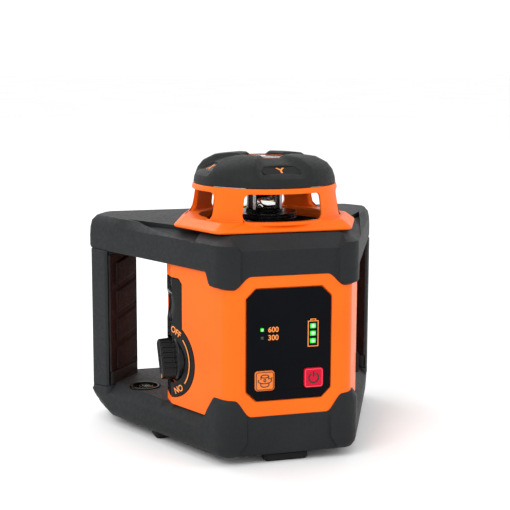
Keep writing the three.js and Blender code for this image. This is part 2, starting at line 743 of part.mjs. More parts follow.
// ---- Rotor and its belt drive -------------------------------------------------------------------
const FLANGE = 0.7;
const GROOVE_HALF = 1.15;
const PULLEY_LOW = BELT_Z - GROOVE_HALF - FLANGE;
const PULLEY_HIGH = BELT_Z + GROOVE_HALF + FLANGE;
// The rim of a belt pulley, bottom to top, as [radius, z] points.
function pulleyRim(radius, groove) {
  const [low, high] = [BELT_Z - GROOVE_HALF, BELT_Z + GROOVE_HALF];
  return [
    [radius, PULLEY_LOW],
    [radius, low],
    [groove, low],
    [groove, high],
    [radius, high],
    [radius, PULLEY_HIGH],
  ];
}
const HUB_R = 8;
const BEAM_R = 5.5; // the hollow middle of the rotor, which the beam climbs through
const rotorPulley = () =>
  turned([
    [BEAM_R, BEARING_SEAT_Z + GAP],
    [HUB_R, BEARING_SEAT_Z + GAP],
    [HUB_R, PULLEY_LOW],
    ...pulleyRim(PULLEY_R, GROOVE_R),
    [BEAM_R, PULLEY_HIGH],
    [BEAM_R, BEARING_SEAT_Z + GAP],
  ]);
const ROTOR_LOW = PULLEY_HIGH + GAP;
function rotorHousing() {
  const topHole = BEAM_R - 1;
  const barrel = turned([
    [BEAM_R, ROTOR_LOW],
    [ROTOR_R, ROTOR_LOW],
    [ROTOR_R, ROTOR_TOP],
    [topHole, ROTOR_TOP],
    [topHole, ROTOR_TOP - 4],
    [BEAM_R, ROTOR_TOP - 4],
    [BEAM_R, ROTOR_LOW],
  ]);
  return cut(barrel, box([-7, 7], [-15, 15], [ROTOR_LOW + 2.6, ROTOR_TOP - 3]));
}
// Five-sided prism glass that turns the upward beam through a right angle, out to the front.
function pentaprism() {
  const width = 10;
  const short = width * Math.tan(Math.PI / 8);
  const low = ROTOR_LOW + 3;
  const points = [
    [-width / 2, low],
    [width / 2, low],
    [width / 2 + 1, low + short],
    [width / 2 - short, low + width - 1],
    [-width / 2, low + width - 1],
  ];
  return sideways(points, [-6, 6]);
}
const motorPulley = () =>
  turned(
    [[0, PULLEY_LOW], ...pulleyRim(MOTOR_GROOVE_R + 1.4, MOTOR_GROOVE_R), [0, PULLEY_HIGH]],
    24,
  ).translate([0, MOTOR_Y, 0]);
const driveMotor = () => disc(7, ARM_TOP + GAP, PULLEY_LOW - 0.4, 24).translate([0, MOTOR_Y, 0]);

// The belt's path: the outline around two circles on the Y axis, grown by a distance.
function beltOutline(grow) {
  const [big, small] = [GROOVE_R + grow, MOTOR_GROOVE_R + grow];
  const lean = Math.asin((GROOVE_R - MOTOR_GROOVE_R) / MOTOR_Y);
  const arc = (radius, y, from, to, steps) =>
    Array.from({ length: steps + 1 }, (_, k) => {
      const angle = from + ((to - from) * k) / steps;
      return [radius * Math.cos(angle), y + radius * Math.sin(angle)];
    });
  return [
    ...arc(big, 0, -Math.PI - lean, lean, 28),
    ...arc(small, MOTOR_Y, lean, Math.PI - lean, 10),
  ];
}
function driveBelt() {
  const [low, high] = [BELT_Z - GROOVE_HALF + GAP, BELT_Z + GROOVE_HALF - GAP];
  return cut(prism(beltOutline(1.5), low, high), prism(beltOutline(GAP + 0.15), low - 1, high + 1));
}

// ---- Head ---------------------------------------------------------------------------------------
const CAGE_LOW = { a: 51.5, b: 46 };
const CAGE_HIGH = 46;
const WINDOW_HALF = 32; // degrees
const flangePlan = mirrored([
  [43, -46.5, 8],
  [61, -4, 8],
  [43, 46.5, 12],
]);
function headCage() {
  const flangeZ = [TOP_DECK_Z + GAP, TOP_DECK_Z + 6];
  const flange = loft([
    [rounded(inset(flangePlan, 1)), flangeZ[0]],
    [rounded(flangePlan), flangeZ[0] + 1],
    [rounded(inset(flangePlan, 1.5)), flangeZ[1]],
  ]);
  const cone = (shrink, low, high) =>
    loft([
      [ellipse(CAGE_LOW.a - shrink, CAGE_LOW.b - shrink), low],
      [ellipse(CAGE_HIGH - shrink, CAGE_HIGH - shrink), high],
    ]);
  const windows = [0, 90, 180, 270].map((degrees) => {
    const [a, b] = [degrees - WINDOW_HALF, degrees + WINDOW_HALF].map(THREE.MathUtils.degToRad);
    const rim = (angle) => [90 * Math.cos(angle), 90 * Math.sin(angle)];
    return prism([[0, 0], rim(a), rim(b)], CAGE_WINDOW_LOW, CAGE_WINDOW_HIGH);
  });
  return cut(
    join(flange, cone(0, flangeZ[1] - 2, CAP_Z)),
    cone(WALL, CAGE_WINDOW_LOW, CAP_Z + 1),
    disc(HEAD_HOLE_R, flangeZ[0] - 1, CAGE_WINDOW_LOW + 1),
    ...windows,
  );
}
const CAP_HOLE_R = 15.2;
const headCap = () =>
  turned([
    [CAP_HOLE_R, TOP_Z - 0.6],
    [CAP_HOLE_R, TOP_Z - 3],
    [32, 182.8],
    [39.5, 178.5],
    [42.6, 172],
    [42.6, CAP_Z + GAP],
    [45.6, CAP_Z + GAP],
    [44.8, 175],
    [42, 181.8],
    [33, 185.8],
    [CAP_HOLE_R, TOP_Z - 0.6],
  ], 36);
const capRing = () => tube(12.3, CAP_HOLE_R - GAP, TOP_Z - 4, TOP_Z);
const capWindow = () => disc(12, TOP_Z - 3.4, TOP_Z - 1.8);

// ---- Base ---------------------------------------------------------------------------------------
const INSERT_R = 11.6;
function basePlate() {
  const hole = INSERT_R + GAP;
  const rim = BASE_HOLE_R - 0.4;
  const [low, ledge, high] = [4, FLOOR_Z + WALL + GAP, 11.3];
  return turned([
    [hole, low],
    [rim, low],
    [rim, ledge],
    [rim + 4, ledge],
    [rim + 4, high],
    [hole, high],
    [hole, low],
  ]);
}
const tripodInsert = () => tube(THREAD_R, INSERT_R, 3.4, INSERT_TOP, 24);
const foot = ([x0, x1], [y0, y1]) =>
  loft([
    [rounded(rectangle(x0 + 1, x1 - 1, y0 + 1, y1 - 1, 2)), 0],
    [rounded(rectangle(x0, x1, y0, y1, 2.6)), 1.5],
    [rounded(rectangle(x0, x1, y0, y1, 2.6)), FLOOR_Z - GAP],
  ]);

// ---- Assembly -----------------------------------------------------------------------------------
add("body_shell", bodyShell(), ORANGE);
add("top_frame", topFrame(), CHARCOAL);
add("bottom_frame", bottomFrame(), CHARCOAL);
for (const [name, side] of [["left", -1], ["right", 1]]) {
  add(name + "_grip", grip(side), CHARCOAL);
  add(name + "_grip_pad", gripPad(side), RUBBER);
  add("cover_screw_" + name, coverScrew(side), STEEL);
  add("bracket_pin_" + name, pivotPin("x", side, [25, 38.5]), STEEL);
}

add("lock_dial", cut(dialSkin(0, DIAL_DEEP - GAP, GAP), knobPocket(-50)), GLOSS_BLACK);
add("lock_knob", lockKnob(), CHARCOAL);
add("lock_shaft", lockShaft(), STEEL);
add("brake_cup", brakeCup(), ALUMINIUM);
add("brake_guide", brakeGuide(), BRASS);

add("control_panel", controlPanel(), GLOSS_BLACK);
add("speed_button", button(-BUTTON_X), ORANGE);
add("power_button", button(BUTTON_X), RED);
for (const [name, x, z, w, h] of LEDS)
  add(name, standing(squareAt(x, z, w, h, 0), [SHELL_FRONT_Y + GAP, SHELL_FRONT_Y + 5]), GREEN);
add("main_board", mainBoard(), BOARD);
add("speed_switch", keySwitch(-BUTTON_X), STEEL);
add("power_switch", keySwitch(BUTTON_X), STEEL);

add("battery_cover", batteryCover(), CHARCOAL);
add("battery_pack", batteryPack(), CELL);
add("charging_socket", chargingSocket(), STEEL);
add("port_cover", portCover(), RUBBER);

add("vial_cup", vialCup(), CHARCOAL);
add("vial_glass", vialGlass(), GLASS);

add("gimbal_bracket", gimbalBracket(), ALUMINIUM);
add("gimbal_ring", gimbalRing(), BRASS);
add("ring_pin_front", pivotPin("y", -1, [15.5, 29.5]), STEEL);
add("ring_pin_back", pivotPin("y", 1, [15.5, 29.5]), STEEL);
add("pendulum_body", pendulumBody(), ALUMINIUM);
add("balance_weight", balanceWeight(), BRASS);
add("laser_module", disc(LASER_R, 76.3, LASER_TOP, 24), BRASS);
add("collimator_lens", collimatorLens(), GLASS);
add("rotor_bearing", tube(HUB_R + RUNNING, 11.1, BEARING_SEAT_Z + GAP, 139, 24), STEEL);
add("rotor_pulley", rotorPulley(), CHARCOAL);
add("rotor_housing", rotorHousing(), GLOSS_BLACK);
add("pentaprism", pentaprism(), GLASS);
add("drive_motor", driveMotor(), STEEL);
add("motor_pulley", motorPulley(), BRASS);
add("drive_belt", driveBelt(), RUBBER);

add("head_cage", headCage(), ORANGE);
add("head_cap", headCap(), CHARCOAL);
add("cap_ring", capRing(), ORANGE);
add("cap_window", capWindow(), GLASS);

add("base_plate", basePlate(), ALUMINIUM);
add("tripod_insert", tripodInsert(), BRASS);
add("front_foot", foot([-14.5, 14.5], [-51, -43]), RUBBER);
for (const [name, side] of [["left", -1], ["right", 1]]) {
  const span = (near, far) => ordered(near * side, far * side);
  add(name + "_foot", foot(span(57, 70), [13, 27]), RUBBER);
  add("back_" + name + "_foot", foot(span(56, 70), [70, 84]), RUBBER);
}

level.position.y = -(FRONT_Y + BACK_Y) / 2;
export default level;
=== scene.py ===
# Looks for the rotating laser level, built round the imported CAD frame. The shape helpers take
# millimetres, with the laser head's axis at X = Y = 0 and the feet on Z = 0; at() turns them into
# the frame's metres.
import math

import bmesh
import bpy
from mathutils import Matrix, Vector


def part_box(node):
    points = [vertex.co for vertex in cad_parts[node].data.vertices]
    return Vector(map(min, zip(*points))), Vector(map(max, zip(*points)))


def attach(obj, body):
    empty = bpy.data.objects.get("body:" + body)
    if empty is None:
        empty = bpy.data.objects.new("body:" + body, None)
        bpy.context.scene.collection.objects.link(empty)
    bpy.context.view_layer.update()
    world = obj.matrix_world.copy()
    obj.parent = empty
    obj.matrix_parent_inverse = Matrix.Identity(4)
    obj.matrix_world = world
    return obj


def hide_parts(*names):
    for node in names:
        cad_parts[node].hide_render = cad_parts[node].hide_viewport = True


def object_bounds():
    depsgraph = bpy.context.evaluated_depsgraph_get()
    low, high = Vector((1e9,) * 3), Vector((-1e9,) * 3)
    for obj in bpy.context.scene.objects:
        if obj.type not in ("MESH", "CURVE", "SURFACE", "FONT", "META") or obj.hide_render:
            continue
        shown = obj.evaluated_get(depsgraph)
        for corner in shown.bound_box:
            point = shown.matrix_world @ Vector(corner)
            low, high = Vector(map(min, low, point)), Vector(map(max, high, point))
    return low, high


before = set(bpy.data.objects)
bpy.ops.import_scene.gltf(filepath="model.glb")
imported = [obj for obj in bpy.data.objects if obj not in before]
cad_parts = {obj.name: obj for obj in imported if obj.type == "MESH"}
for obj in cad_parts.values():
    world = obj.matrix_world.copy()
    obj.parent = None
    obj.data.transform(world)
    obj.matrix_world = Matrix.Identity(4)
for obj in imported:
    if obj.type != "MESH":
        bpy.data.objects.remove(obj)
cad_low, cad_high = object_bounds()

MM = 0.001
ring_low, ring_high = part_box("cap_ring")
AXIS_Y = (ring_low.y + ring_high.y) / 2


def at(x, y, z):
    return Vector((x * MM, y * MM + AXIS_Y, z * MM))


def low_high(node):
    """The lowest and highest corner of a CAD node, in the helpers' millimetres."""
    low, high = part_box(node)
    shift = Vector((0, AXIS_Y, 0))
    return (low - shift) / MM, (high - shift) / MM


# ---- Driving dimensions, as in the CAD source ---------------------------------------------------
FRONT_Y = low_high("top_frame")[0].y
FRONT_HALF = 43.5
SIDE_LENGTH, SIDE_ANGLE = 144, math.radians(65.8)
END_LENGTH, END_ANGLE = 24, math.radians(120)
END_X = FRONT_HALF + SIDE_LENGTH * math.cos(SIDE_ANGLE)
END_Y = FRONT_Y + SIDE_LENGTH * math.sin(SIDE_ANGLE)
BACK_X = END_X + END_LENGTH * math.cos(END_ANGLE)
BACK_Y = END_Y + END_LENGTH * math.sin(END_ANGLE)
WALL = 3
GAP = 0.3

FLOOR_Z = low_high("bottom_frame")[0].z
BOTTOM_FACE_Z, BOTTOM_DECK_Z = 21.3, 28.5
BOTTOM_LEDGE_Z, BOTTOM_WRAP_Z = 32, low_high("bottom_frame")[1].z
TOP_WRAP_Z, TOP_UNDER_Z = low_high("top_frame")[0].z, 120.3
TOP_BAND_Z, TOP_FACE_Z, TOP_DECK_Z = 134.3, 137.6, low_high("top_frame")[1].z
HEAD_HOLE_R = 42
CAGE_LOW, CAP_Z = low_high("head_cage")[0].z, low_high("head_cage")[1].z
WINDOW_Z = (149.6, 166.6)

SHELL_FRONT_Y = low_high("body_shell")[0].y
SHELL_BACK_Y = low_high("body_shell")[1].y
SHELL_Z = (low_high("body_shell")[0].z, low_high("body_shell")[1].z)
PANEL_LOW, PANEL_HIGH = low_high("control_panel")
PANEL_CHAMFER = 6
KNOB_LOW, KNOB_HIGH = low_high("lock_knob")
KNOB_Y, KNOB_Z = (KNOB_LOW.y + KNOB_HIGH.y) / 2, (KNOB_LOW.z + KNOB_HIGH.z) / 2
POINTER_ANGLE = math.radians(240)
RECESS_R, DIAL_R, STRIP_HALF, DIAL_TOP_Z = 15.5, 25, 13, 111.5
SIDE_X = low_high("body_shell")[1].x
GRIP_HIGH_Z = low_high("left_grip")[1].z
GRIP_PLAN = [(92.7, 51.5, 4), (101.8, 72.2, 5), (90.6, 92.6, 7), (76, 93, 5), (67, 82, 5)]


# ---- Plans --------------------------------------------------------------------------------------
def mirrored(half):
    return half + [(-x, y, r) for x, y, r in reversed(half)]


def flip_x(corners):
    return [(-x, y, r) for x, y, r in reversed(corners)]


def rounded(corners, steps=8):
    """The points of a counter-clockwise plan whose corners (x, y, radius) are rounded."""
    points = []
    for i, (x, y, radius) in enumerate(corners):
        if not radius:
            points.append((x, y))
            continue
        corner = Vector((x, y))
        back = (Vector(corners[i - 1][:2]) - corner).normalized()
        ahead = (Vector(corners[(i + 1) % len(corners)][:2]) - corner).normalized()
        half = back.angle(ahead) / 2
        centre = corner + (back + ahead).normalized() * radius / math.sin(half)
        start = corner + back * radius / math.tan(half) - centre
        end = corner + ahead * radius / math.tan(half) - centre
        first = math.atan2(start.y, start.x)
        turn = (math.atan2(end.y, end.x) - first + math.pi) % (2 * math.pi) - math.pi
        for k in range(steps + 1):
            angle = first + turn * k / steps
            c, s = math.cos(angle), math.sin(angle)
            points.append((centre.x + radius * c, centre.y + radius * s))
    return points


def inset(corners, distance):
    """The corners of a counter-clockwise plan moved inwards, or outwards if negative."""
    moved = []
    for i, (x, y, radius) in enumerate(corners):
        bx, by = corners[i - 1][:2]
        ax, ay = corners[(i + 1) % len(corners)][:2]
        before = Vector((by - y, x - bx)).normalized()
        after = Vector((y - ay, ax - x)).normalized()
        shift = (before + after) * distance / (1 + before.dot(after))
        moved.append((x + shift.x, y + shift.y, max(radius - distance, 0.8) if radius else 0))
    return moved


def along_side(length):
    return (FRONT_HALF + length * math.cos(SIDE_ANGLE), FRONT_Y + length * math.sin(SIDE_ANGLE), 0)


def rectangle(x0, x1, y0, y1, radius=0):
    return [(x0, y0, radius), (x1, y0, radius), (x1, y1, radius), (x0, y1, radius)]


frame_plan = mirrored(
    [
        (FRONT_HALF, FRONT_Y, 11), along_side(50), along_side(112),
        (END_X, END_Y, 7), (BACK_X, BACK_Y, 10),
    ]
)
deck_plan = mirrored([(36, -45, 8), (56, -4, 0), (86, 44, 0), (96, 73, 5), (87, 87, 8)])
shell_plan = mirrored(
    [(40.3, SHELL_FRONT_Y, 8), (SIDE_X, -5, 6), (SIDE_X, 7, 6), (46, 54, 10), (43, SHELL_BACK_Y, 6)]
)
flange_plan = mirrored([(43, -46.5, 8), (61, -4, 8), (43, 46.5, 12)])


# ---- Shape helpers ------------------------------------------------------------------------------
def make(name, points, faces):
    """A mesh object from points in millimetres, with doubled points merged and faces turned out."""
    mesh = bpy.data.meshes.new(name)
    mesh.from_pydata([at(*p) for p in points], [], faces)
    work = bmesh.new()
    work.from_mesh(mesh)
    bmesh.ops.remove_doubles(work, verts=work.verts, dist=1e-6)
    bmesh.ops.recalc_face_normals(work, faces=work.faces)
    work.to_mesh(mesh)
    work.free()
    obj = bpy.data.objects.new(name, mesh)
    bpy.context.scene.collection.objects.link(obj)
    return obj


def stack(name, rings, looped=False):
    """A closed mesh through a row of rings of points: capped, or joined end to end if looped."""
    count = len(rings[0])
    faces = []
    for k in range(len(rings) if looped else len(rings) - 1):
        a, b = k * count, ((k + 1) % len(rings)) * count
        for i in range(count):
            j = (i + 1) % count
            faces.append((a + i, a + j, b + j, b + i))
    if not looped:
        last = (len(rings) - 1) * count
        faces += [tuple(reversed(range(count))), tuple(range(last, last + count))]
    return make(name, [p for ring in rings for p in ring], faces)


PLACES = {
    "top": lambda u, v, d: (u, v, d),
    "front": lambda u, v, d: (u, d, v),
    "side": lambda u, v, d: (d, u, v),
}


def slab(name, outline, low, high, facing="top"):
    """An outline between two depths: a plan, a front (X, Z) or a side (Y, Z) outline."""
    place = PLACES[facing]
    return stack(name, [[place(u, v, d) for u, v in outline] for d in (low, high)])


def plate(name, spans, radius, low, high, facing="front", steps=8):
    """A rounded rectangle between two depths; spans are (u0, u1, v0, v1)."""
    return slab(name, rounded(rectangle(*spans, radius), steps), low, high, facing)


def box(name, x, y, z):
    return slab(name, [(x[0], y[0]), (x[1], y[0]), (x[1], y[1]), (x[0], y[1])], *z)


def turned(name, profile, sides=72, facing="top", centre=(0, 0), closed=True):
    """A turned solid from (radius, depth) points; a profile that isn't closed ends on the axis."""
    place = PLACES[facing]
    rings = []
    for k in range(sides):
        angle = 2 * math.pi * k / sides
        c, s = math.cos(angle), math.sin(angle)
        rings.append([place(centre[0] + r * c, centre[1] + r * s, d) for r, d in profile])
    count = len(profile)
    faces = []
    for k in range(sides):
        a, b = k * count, ((k + 1) % sides) * count
        for i in range(count if closed else count - 1):
            j = (i + 1) % count
            faces.append((a + i, b + i, b + j, a + j))
    return make(name, [p for ring in rings for p in ring], faces)


def middle_of(node):
    """The middle of a CAD node, in the helpers' millimetres."""
    low, high = low_high(node)
    return (low + high) / 2


def disc(name, radius, low, high, facing="top", centre=(0, 0), sides=72):
    profile = [(0, low), (radius, low), (radius, high), (0, high)]
    return turned(name, profile, sides, facing, centre, closed=False)


def bake(obj):
    """Turns the object's modifiers into its mesh."""
    graph = bpy.context.evaluated_depsgraph_get()
    mesh = bpy.data.meshes.new_from_object(obj.evaluated_get(graph))
    old = obj.data
    obj.modifiers.clear()
    obj.data = mesh
    bpy.data.meshes.remove(old)
    return obj


def combine(obj, tools, operation):
    """Cuts or joins the tools one after another, then clears away points that nearly coincide."""
    for tool in tools:
        step = obj.modifiers.new(operation, "BOOLEAN")
        step.object, step.operation, step.solver = tool, operation, "EXACT"
    bake(obj)
    for tool in tools:
        bpy.data.objects.remove(tool)
    work = bmesh.new()
    work.from_mesh(obj.data)
    bmesh.ops.remove_doubles(work, verts=work.verts, dist=0.01 * MM)
    bmesh.ops.dissolve_degenerate(work, edges=work.edges, dist=0.02 * MM)
    work.to_mesh(obj.data)
    work.free()
    return obj


def cut(obj, *tools):
    return combine(obj, tools, "DIFFERENCE")


def join(obj, *tools):
    return combine(obj, tools, "UNION")


def keep(obj, *tools):
    return combine(obj, tools, "INTERSECT")


SHARP_EDGE, HARD_SHADE = math.radians(30), math.radians(38)


def bevel(obj, width, segments=3, clamp=False):
    """Rounds the sharp edges and bakes the result, which never grows past the old box."""
    step = obj.modifiers.new("edges", "BEVEL")
    step.width, step.segments = width * MM, segments
    step.limit_method, step.angle_limit = "ANGLE", SHARP_EDGE
    step.use_clamp_overlap = clamp
    step.loop_slide = False
    axes = [[v.co[axis] for v in obj.data.vertices] for axis in range(3)]
    low, high = [min(a) for a in axes], [max(a) for a in axes]
    bake(obj)
    for v in obj.data.vertices:
        v.co = [min(max(c, a), b) for c, a, b in zip(v.co, low, high)]
    return obj


def smooth(obj):
    """Smooth shading that stays flat across flat faces and sharp across sharp edges."""
    mesh = obj.data
    mesh.polygons.foreach_set("use_smooth", [True] * len(mesh.polygons))
    mesh.set_sharp_from_angle(angle=HARD_SHADE)
    step = obj.modifiers.new("shading", "WEIGHTED_NORMAL")
    step.keep_sharp = True


def piece(obj, body, look, slot, *replaced):
    """Finishes a new piece: material, shading, body, and hides the CAD nodes it stands for; slot is
    not used.
    """
    obj.data.materials.clear()
    obj.data.materials.append(look)
    smooth(obj)
    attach(obj, body)
    if replaced:
        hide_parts(*replaced)
    return obj


def dress(node, look, edge=0.0):
    """A better material for a CAD node whose shape stays, and rounded edges if it has a width."""
    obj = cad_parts[node]
    obj.material_slots[0].material = look
    weld = obj.modifiers.new("weld", "WELD")
    weld.merge_threshold = 1e-6
    if edge:
        step = obj.modifiers.new("edges", "BEVEL")
        step.width, step.segments = edge * MM, 2
        step.limit_method, step.angle_limit = "ANGLE", math.radians(35)
    obj.data.polygons.foreach_set("use_smooth", [True] * len(obj.data.polygons))
    if "custom_normal" in obj.data.attributes:
        obj.data.attributes.remove(obj.data.attributes["custom_normal"])
    shade = obj.modifiers.new("shading", "WEIGHTED_NORMAL")
    shade.keep_sharp = True
    return obj


# ---- Materials ----------------------------------------------------------------------------------
class Look:
    """A material's node tree, with short calls for the nodes that the surfaces here share."""

    def __init__(self, name, roughness=0.5, metallic=0.0, **sockets):
        self.material = bpy.data.materials.new(name)
        self.material.use_nodes = True
        self.tree = self.material.node_tree
        self.shader = self.tree.nodes["Principled BSDF"]
        self.shader.inputs["Roughness"].default_value = roughness
        self.shader.inputs["Metallic"].default_value = metallic
        for socket, value in sockets.items():
            self.shader.inputs[socket.replace("_", " ")].default_value = value
        self.place = self.tree.nodes.new("ShaderNodeTexCoord").outputs["Object"]

    def link(self, output, socket):
        self.tree.links.new(output, self.shader.inputs[socket])

    def node(self, kind, inputs=(), **settings):
        made = self.tree.nodes.new(kind)
        for key, value in settings.items():
            setattr(made, key, value)
        for socket, value in dict(inputs).items():
            if isinstance(value, bpy.types.NodeSocket):
                self.tree.links.new(value, made.inputs[socket])
            else:
                made.inputs[socket].default_value = value
        return made

    def stretched(self, x, y, z):
        scale = self.node("ShaderNodeMapping", {"Vector": self.place, "Scale": (x, y, z)})
        return scale.outputs["Vector"]

    def noise(self, scale, detail=3.0, rough=0.55, vector=None):
        inputs = {"Vector": vector or self.place, "Scale": scale}
        inputs.update({"Detail": detail, "Roughness": rough})
        return self.node("ShaderNodeTexNoise", inputs).outputs["Fac"]

    def ramp(self, factor, *stops):
        made = self.node("ShaderNodeValToRGB", {"Fac": factor})
        elements = made.color_ramp.elements
        while len(elements) < len(stops):
            elements.new(0.5)
        for element, (position, colour) in zip(elements, stops):
            element.position, element.color = position, (*colour, 1)
        return made.outputs["Color"]

    def spread(self, factor, low, high, start=0.3, end=0.7):
        inputs = {"Value": factor, "From Min": start, "From Max": end}
        inputs.update({"To Min": low, "To Max": high})
        return self.node("ShaderNodeMapRange", inputs).outputs["Result"]

    def mix(self, factor, first, second, blend="MIX"):
        made = self.node("ShaderNodeMix", data_type="RGBA", blend_type=blend)
        for socket, value in zip(("Factor", "A", "B"), (factor, first, second)):
            slot = next(s for s in made.inputs if s.name == socket and s.enabled)
            if isinstance(value, bpy.types.NodeSocket):
                self.tree.links.new(value, slot)
            else:
                slot.default_value = value
        return next(s for s in made.outputs if s.enabled)

    def bump(self, height, distance, strength=1.0):
        """Relief of a height in millimetres."""
        inputs = {"Height": height, "Distance": distance * MM, "Strength": strength}
        self.link(self.node("ShaderNodeBump", inputs).outputs["Normal"], "Normal")


def srgb(r, g, b):
    """A colour given as 0 to 255 on the screen, as linear values."""
    shares = (r / 255, g / 255, b / 255)
    return tuple(c / 12.92 if c <= 10 / 255 else ((c + 0.055) / 1.055) ** 2.4 for c in shares)


def moulded(name, dark, light, rough, grain, relief, coat=0.0):
    """Moulded plastic: slow colour drift, a fine grain in the relief, and uneven gloss."""
    look = Look(name, Coat_Weight=coat, Coat_Roughness=0.25, Specular_IOR_Level=0.18)
    drift = look.noise(18, 4)
    speck = look.noise(grain, 2, 0.7)
    blotch = look.mix(0.35, drift, speck)
    look.link(look.ramp(blotch, (0.32, dark), (0.68, light)), "Base Color")
    look.link(look.spread(look.noise(grain / 5, 3), *rough), "Roughness")
    look.bump(speck, relief)
    return look.material


def textured_black(name, dark, light, top):
    """Spark-eroded dark plastic: a pebbled grain, and painted top light: top is a paler colour
    painted in patches on faces that look up.
    """
    look = Look(name, Specular_IOR_Level=0.16)
    pebble = look.node(
        "ShaderNodeTexVoronoi", {"Vector": look.place, "Scale": 1500.0}, feature="SMOOTH_F1"
    ).outputs["Distance"]
    drift = look.noise(22, 4)
    fine = look.noise(2600, 2, 0.7)
    base = look.ramp(look.mix(0.5, drift, fine), (0.3, dark), (0.7, light))
    normal = look.node("ShaderNodeNewGeometry").outputs["Normal"]
    up = look.node("ShaderNodeSeparateXYZ", {"Vector": normal}).outputs["Z"]
    # Painted top light: a paler colour on faces that look up, broken into patches by a noise.
    painted_top_light = look.spread(up, 0.0, 1.0, 0.55, 1.0)
    patchy_top_light = look.node("ShaderNodeMath", {0: painted_top_light, 1: look.spread(look.noise(60, 5), 0.35, 1.0)})
    patchy_top_light.operation = "MULTIPLY"
    look.link(look.mix(patchy_top_light.outputs["Value"], base, (*top, 1)), "Base Color")
    look.link(look.spread(look.noise(400, 3), 0.5, 0.68), "Roughness")
    look.bump(look.mix(0.4, pebble, fine), 0.05, 0.7)
    return look.material


def glossy(name, dark, light, rough=(0.06, 0.16), specular=0.05):
    look = Look(name, Specular_IOR_Level=specular)
    cloud = look.noise(35, 5)
    look.link(look.ramp(cloud, (0.3, dark), (0.7, light)), "Base Color")
    look.link(look.spread(look.noise(120, 4), *rough), "Roughness")
    look.bump(look.noise(500, 2), 0.004)
    return look.material


def rubber(name, dark, light):
    look = Look(name, Specular_IOR_Level=0.2)
    mottle = look.noise(90, 5)
    look.link(look.ramp(mottle, (0.3, dark), (0.7, light)), "Base Color")
    look.link(look.spread(look.noise(700, 3), 0.62, 0.85), "Roughness")
    look.bump(look.noise(1800, 3, 0.7), 0.04)
    return look.material


def metal(name, dark, light, rough, brushed=(1, 1, 12)):
    look = Look(name, metallic=1.0)
    lines = look.noise(260, 4, 0.6, look.stretched(*brushed))
    look.link(look.ramp(lines, (0.3, dark), (0.7, light)), "Base Color")
    look.link(look.spread(look.noise(80, 4), *rough), "Roughness")
    look.bump(lines, 0.01)
    return look.material


def clear(name, tint, rough=0.03, ior=1.5):
    look = Look(name, roughness=rough, Transmission_Weight=1.0, IOR=ior)
    haze = look.noise(60, 3)
    paler = tuple(min(1, c * 1.06) for c in tint)
    look.link(look.ramp(haze, (0.3, tint), (0.8, paler)), "Base Color")
    look.bump(look.noise(400, 2), 0.002)
    return look.material


def lamp(name, edge, core, glow):
    """A lit indicator: a pale core that falls off to the lens colour at its rim."""
    look = Look(name, roughness=0.25)
    shape = look.tree.nodes.new("ShaderNodeTexCoord").outputs["Generated"]
    off = look.node("ShaderNodeVectorMath", {0: shape, 1: (0.5, 0.5, 0.5)}, operation="DISTANCE")
    colour = look.ramp(off.outputs["Value"], (0.5, core), (0.68, edge))
    look.link(colour, "Base Color")
    look.link(colour, "Emission Color")
    look.shader.inputs["Emission Strength"].default_value = glow
    return look.material


def printed(name, colour):
    look = Look(name)
    grain = look.noise(900, 3)
    worn = tuple(c * 0.82 for c in colour)
    look.link(look.ramp(grain, (0.25, worn), (0.6, colour)), "Base Color")
    look.link(look.spread(look.noise(200, 3), 0.4, 0.6), "Roughness")
    return look.material


ORANGE = moulded("orange_plastic", srgb(238, 96, 6), srgb(248, 106, 14), (0.34, 0.46), 1400, 0.02)
# The last colour of each of these two is the painted top light for faces that look up.
CHARCOAL = textured_black("charcoal_plastic", srgb(24, 26, 27), srgb(36, 38, 39), srgb(50, 51, 53))
CAP_BLACK = textured_black("cap_plastic", srgb(22, 24, 23), srgb(33, 35, 34), srgb(44, 46, 45))
KNOB_BLACK = moulded(
    "knob_plastic", srgb(7, 8, 9), srgb(13, 14, 15), (0.22, 0.34), 1200, 0.02, 0.12
)
GRIP_RUBBER = rubber("grip_rubber", srgb(20, 13, 13), srgb(31, 22, 22))
FOOT_RUBBER = rubber("foot_rubber", srgb(18, 18, 19), srgb(28, 28, 29))
PANEL = glossy("panel_black", srgb(5, 6, 10), srgb(9, 10, 14))
INLAY = glossy("inlay_black", srgb(8, 9, 10), srgb(15, 16, 17), (0.2, 0.32), 0.1)
KEY_ORANGE = glossy("key_orange", srgb(222, 116, 52), srgb(234, 130, 64), (0.25, 0.38))
KEY_RED = glossy("key_red", srgb(180, 8, 40), srgb(206, 16, 50), (0.18, 0.3), 0.12)
PRINT = printed("print_orange", srgb(240, 138, 58))
PRINT_DARK = printed("print_black", srgb(24, 20, 22))
PRINT_RED = printed("print_red", srgb(236, 70, 90))
LED_ON = lamp("led_lit", srgb(10, 190, 40), srgb(170, 250, 170), 0.9)
LED_OFF = lamp("led_dark", srgb(22, 46, 30), srgb(52, 78, 58), 0.02)
BRASS = metal("brass", srgb(176, 140, 74), srgb(204, 170, 100), (0.28, 0.42))
STEEL = metal("steel", srgb(150, 152, 155), srgb(190, 192, 195), (0.22, 0.38))
ALUMINIUM = metal(
    "cast_aluminium", srgb(158, 160, 163), srgb(188, 190, 192), (0.38, 0.52), (1, 1, 1)
)
GLASS = clear("clear_glass", srgb(236, 244, 240))
VIAL_LIQUID = clear("vial_liquid", srgb(176, 214, 70), 0.06, 1.36)
BUBBLE = clear("vial_bubble", srgb(244, 252, 232), 0.02, 1.1)
BOARD = glossy("circuit_board", srgb(16, 78, 40), srgb(26, 96, 52), (0.35, 0.5), 0.5)
WRAP = glossy("cell_wrap", srgb(34, 78, 150), srgb(44, 92, 170), (0.3, 0.42), 0.5)


# ---- Camera, floor and light --------------------------------------------------------------------
CAMERA_PLACE = (-230.24, -766.17, 253.0)
HEADING, PITCH, ROLL = math.radians(16.308), math.radians(9.288), math.radians(0.2157)
LENS, SENSOR = 88.13, 36.0


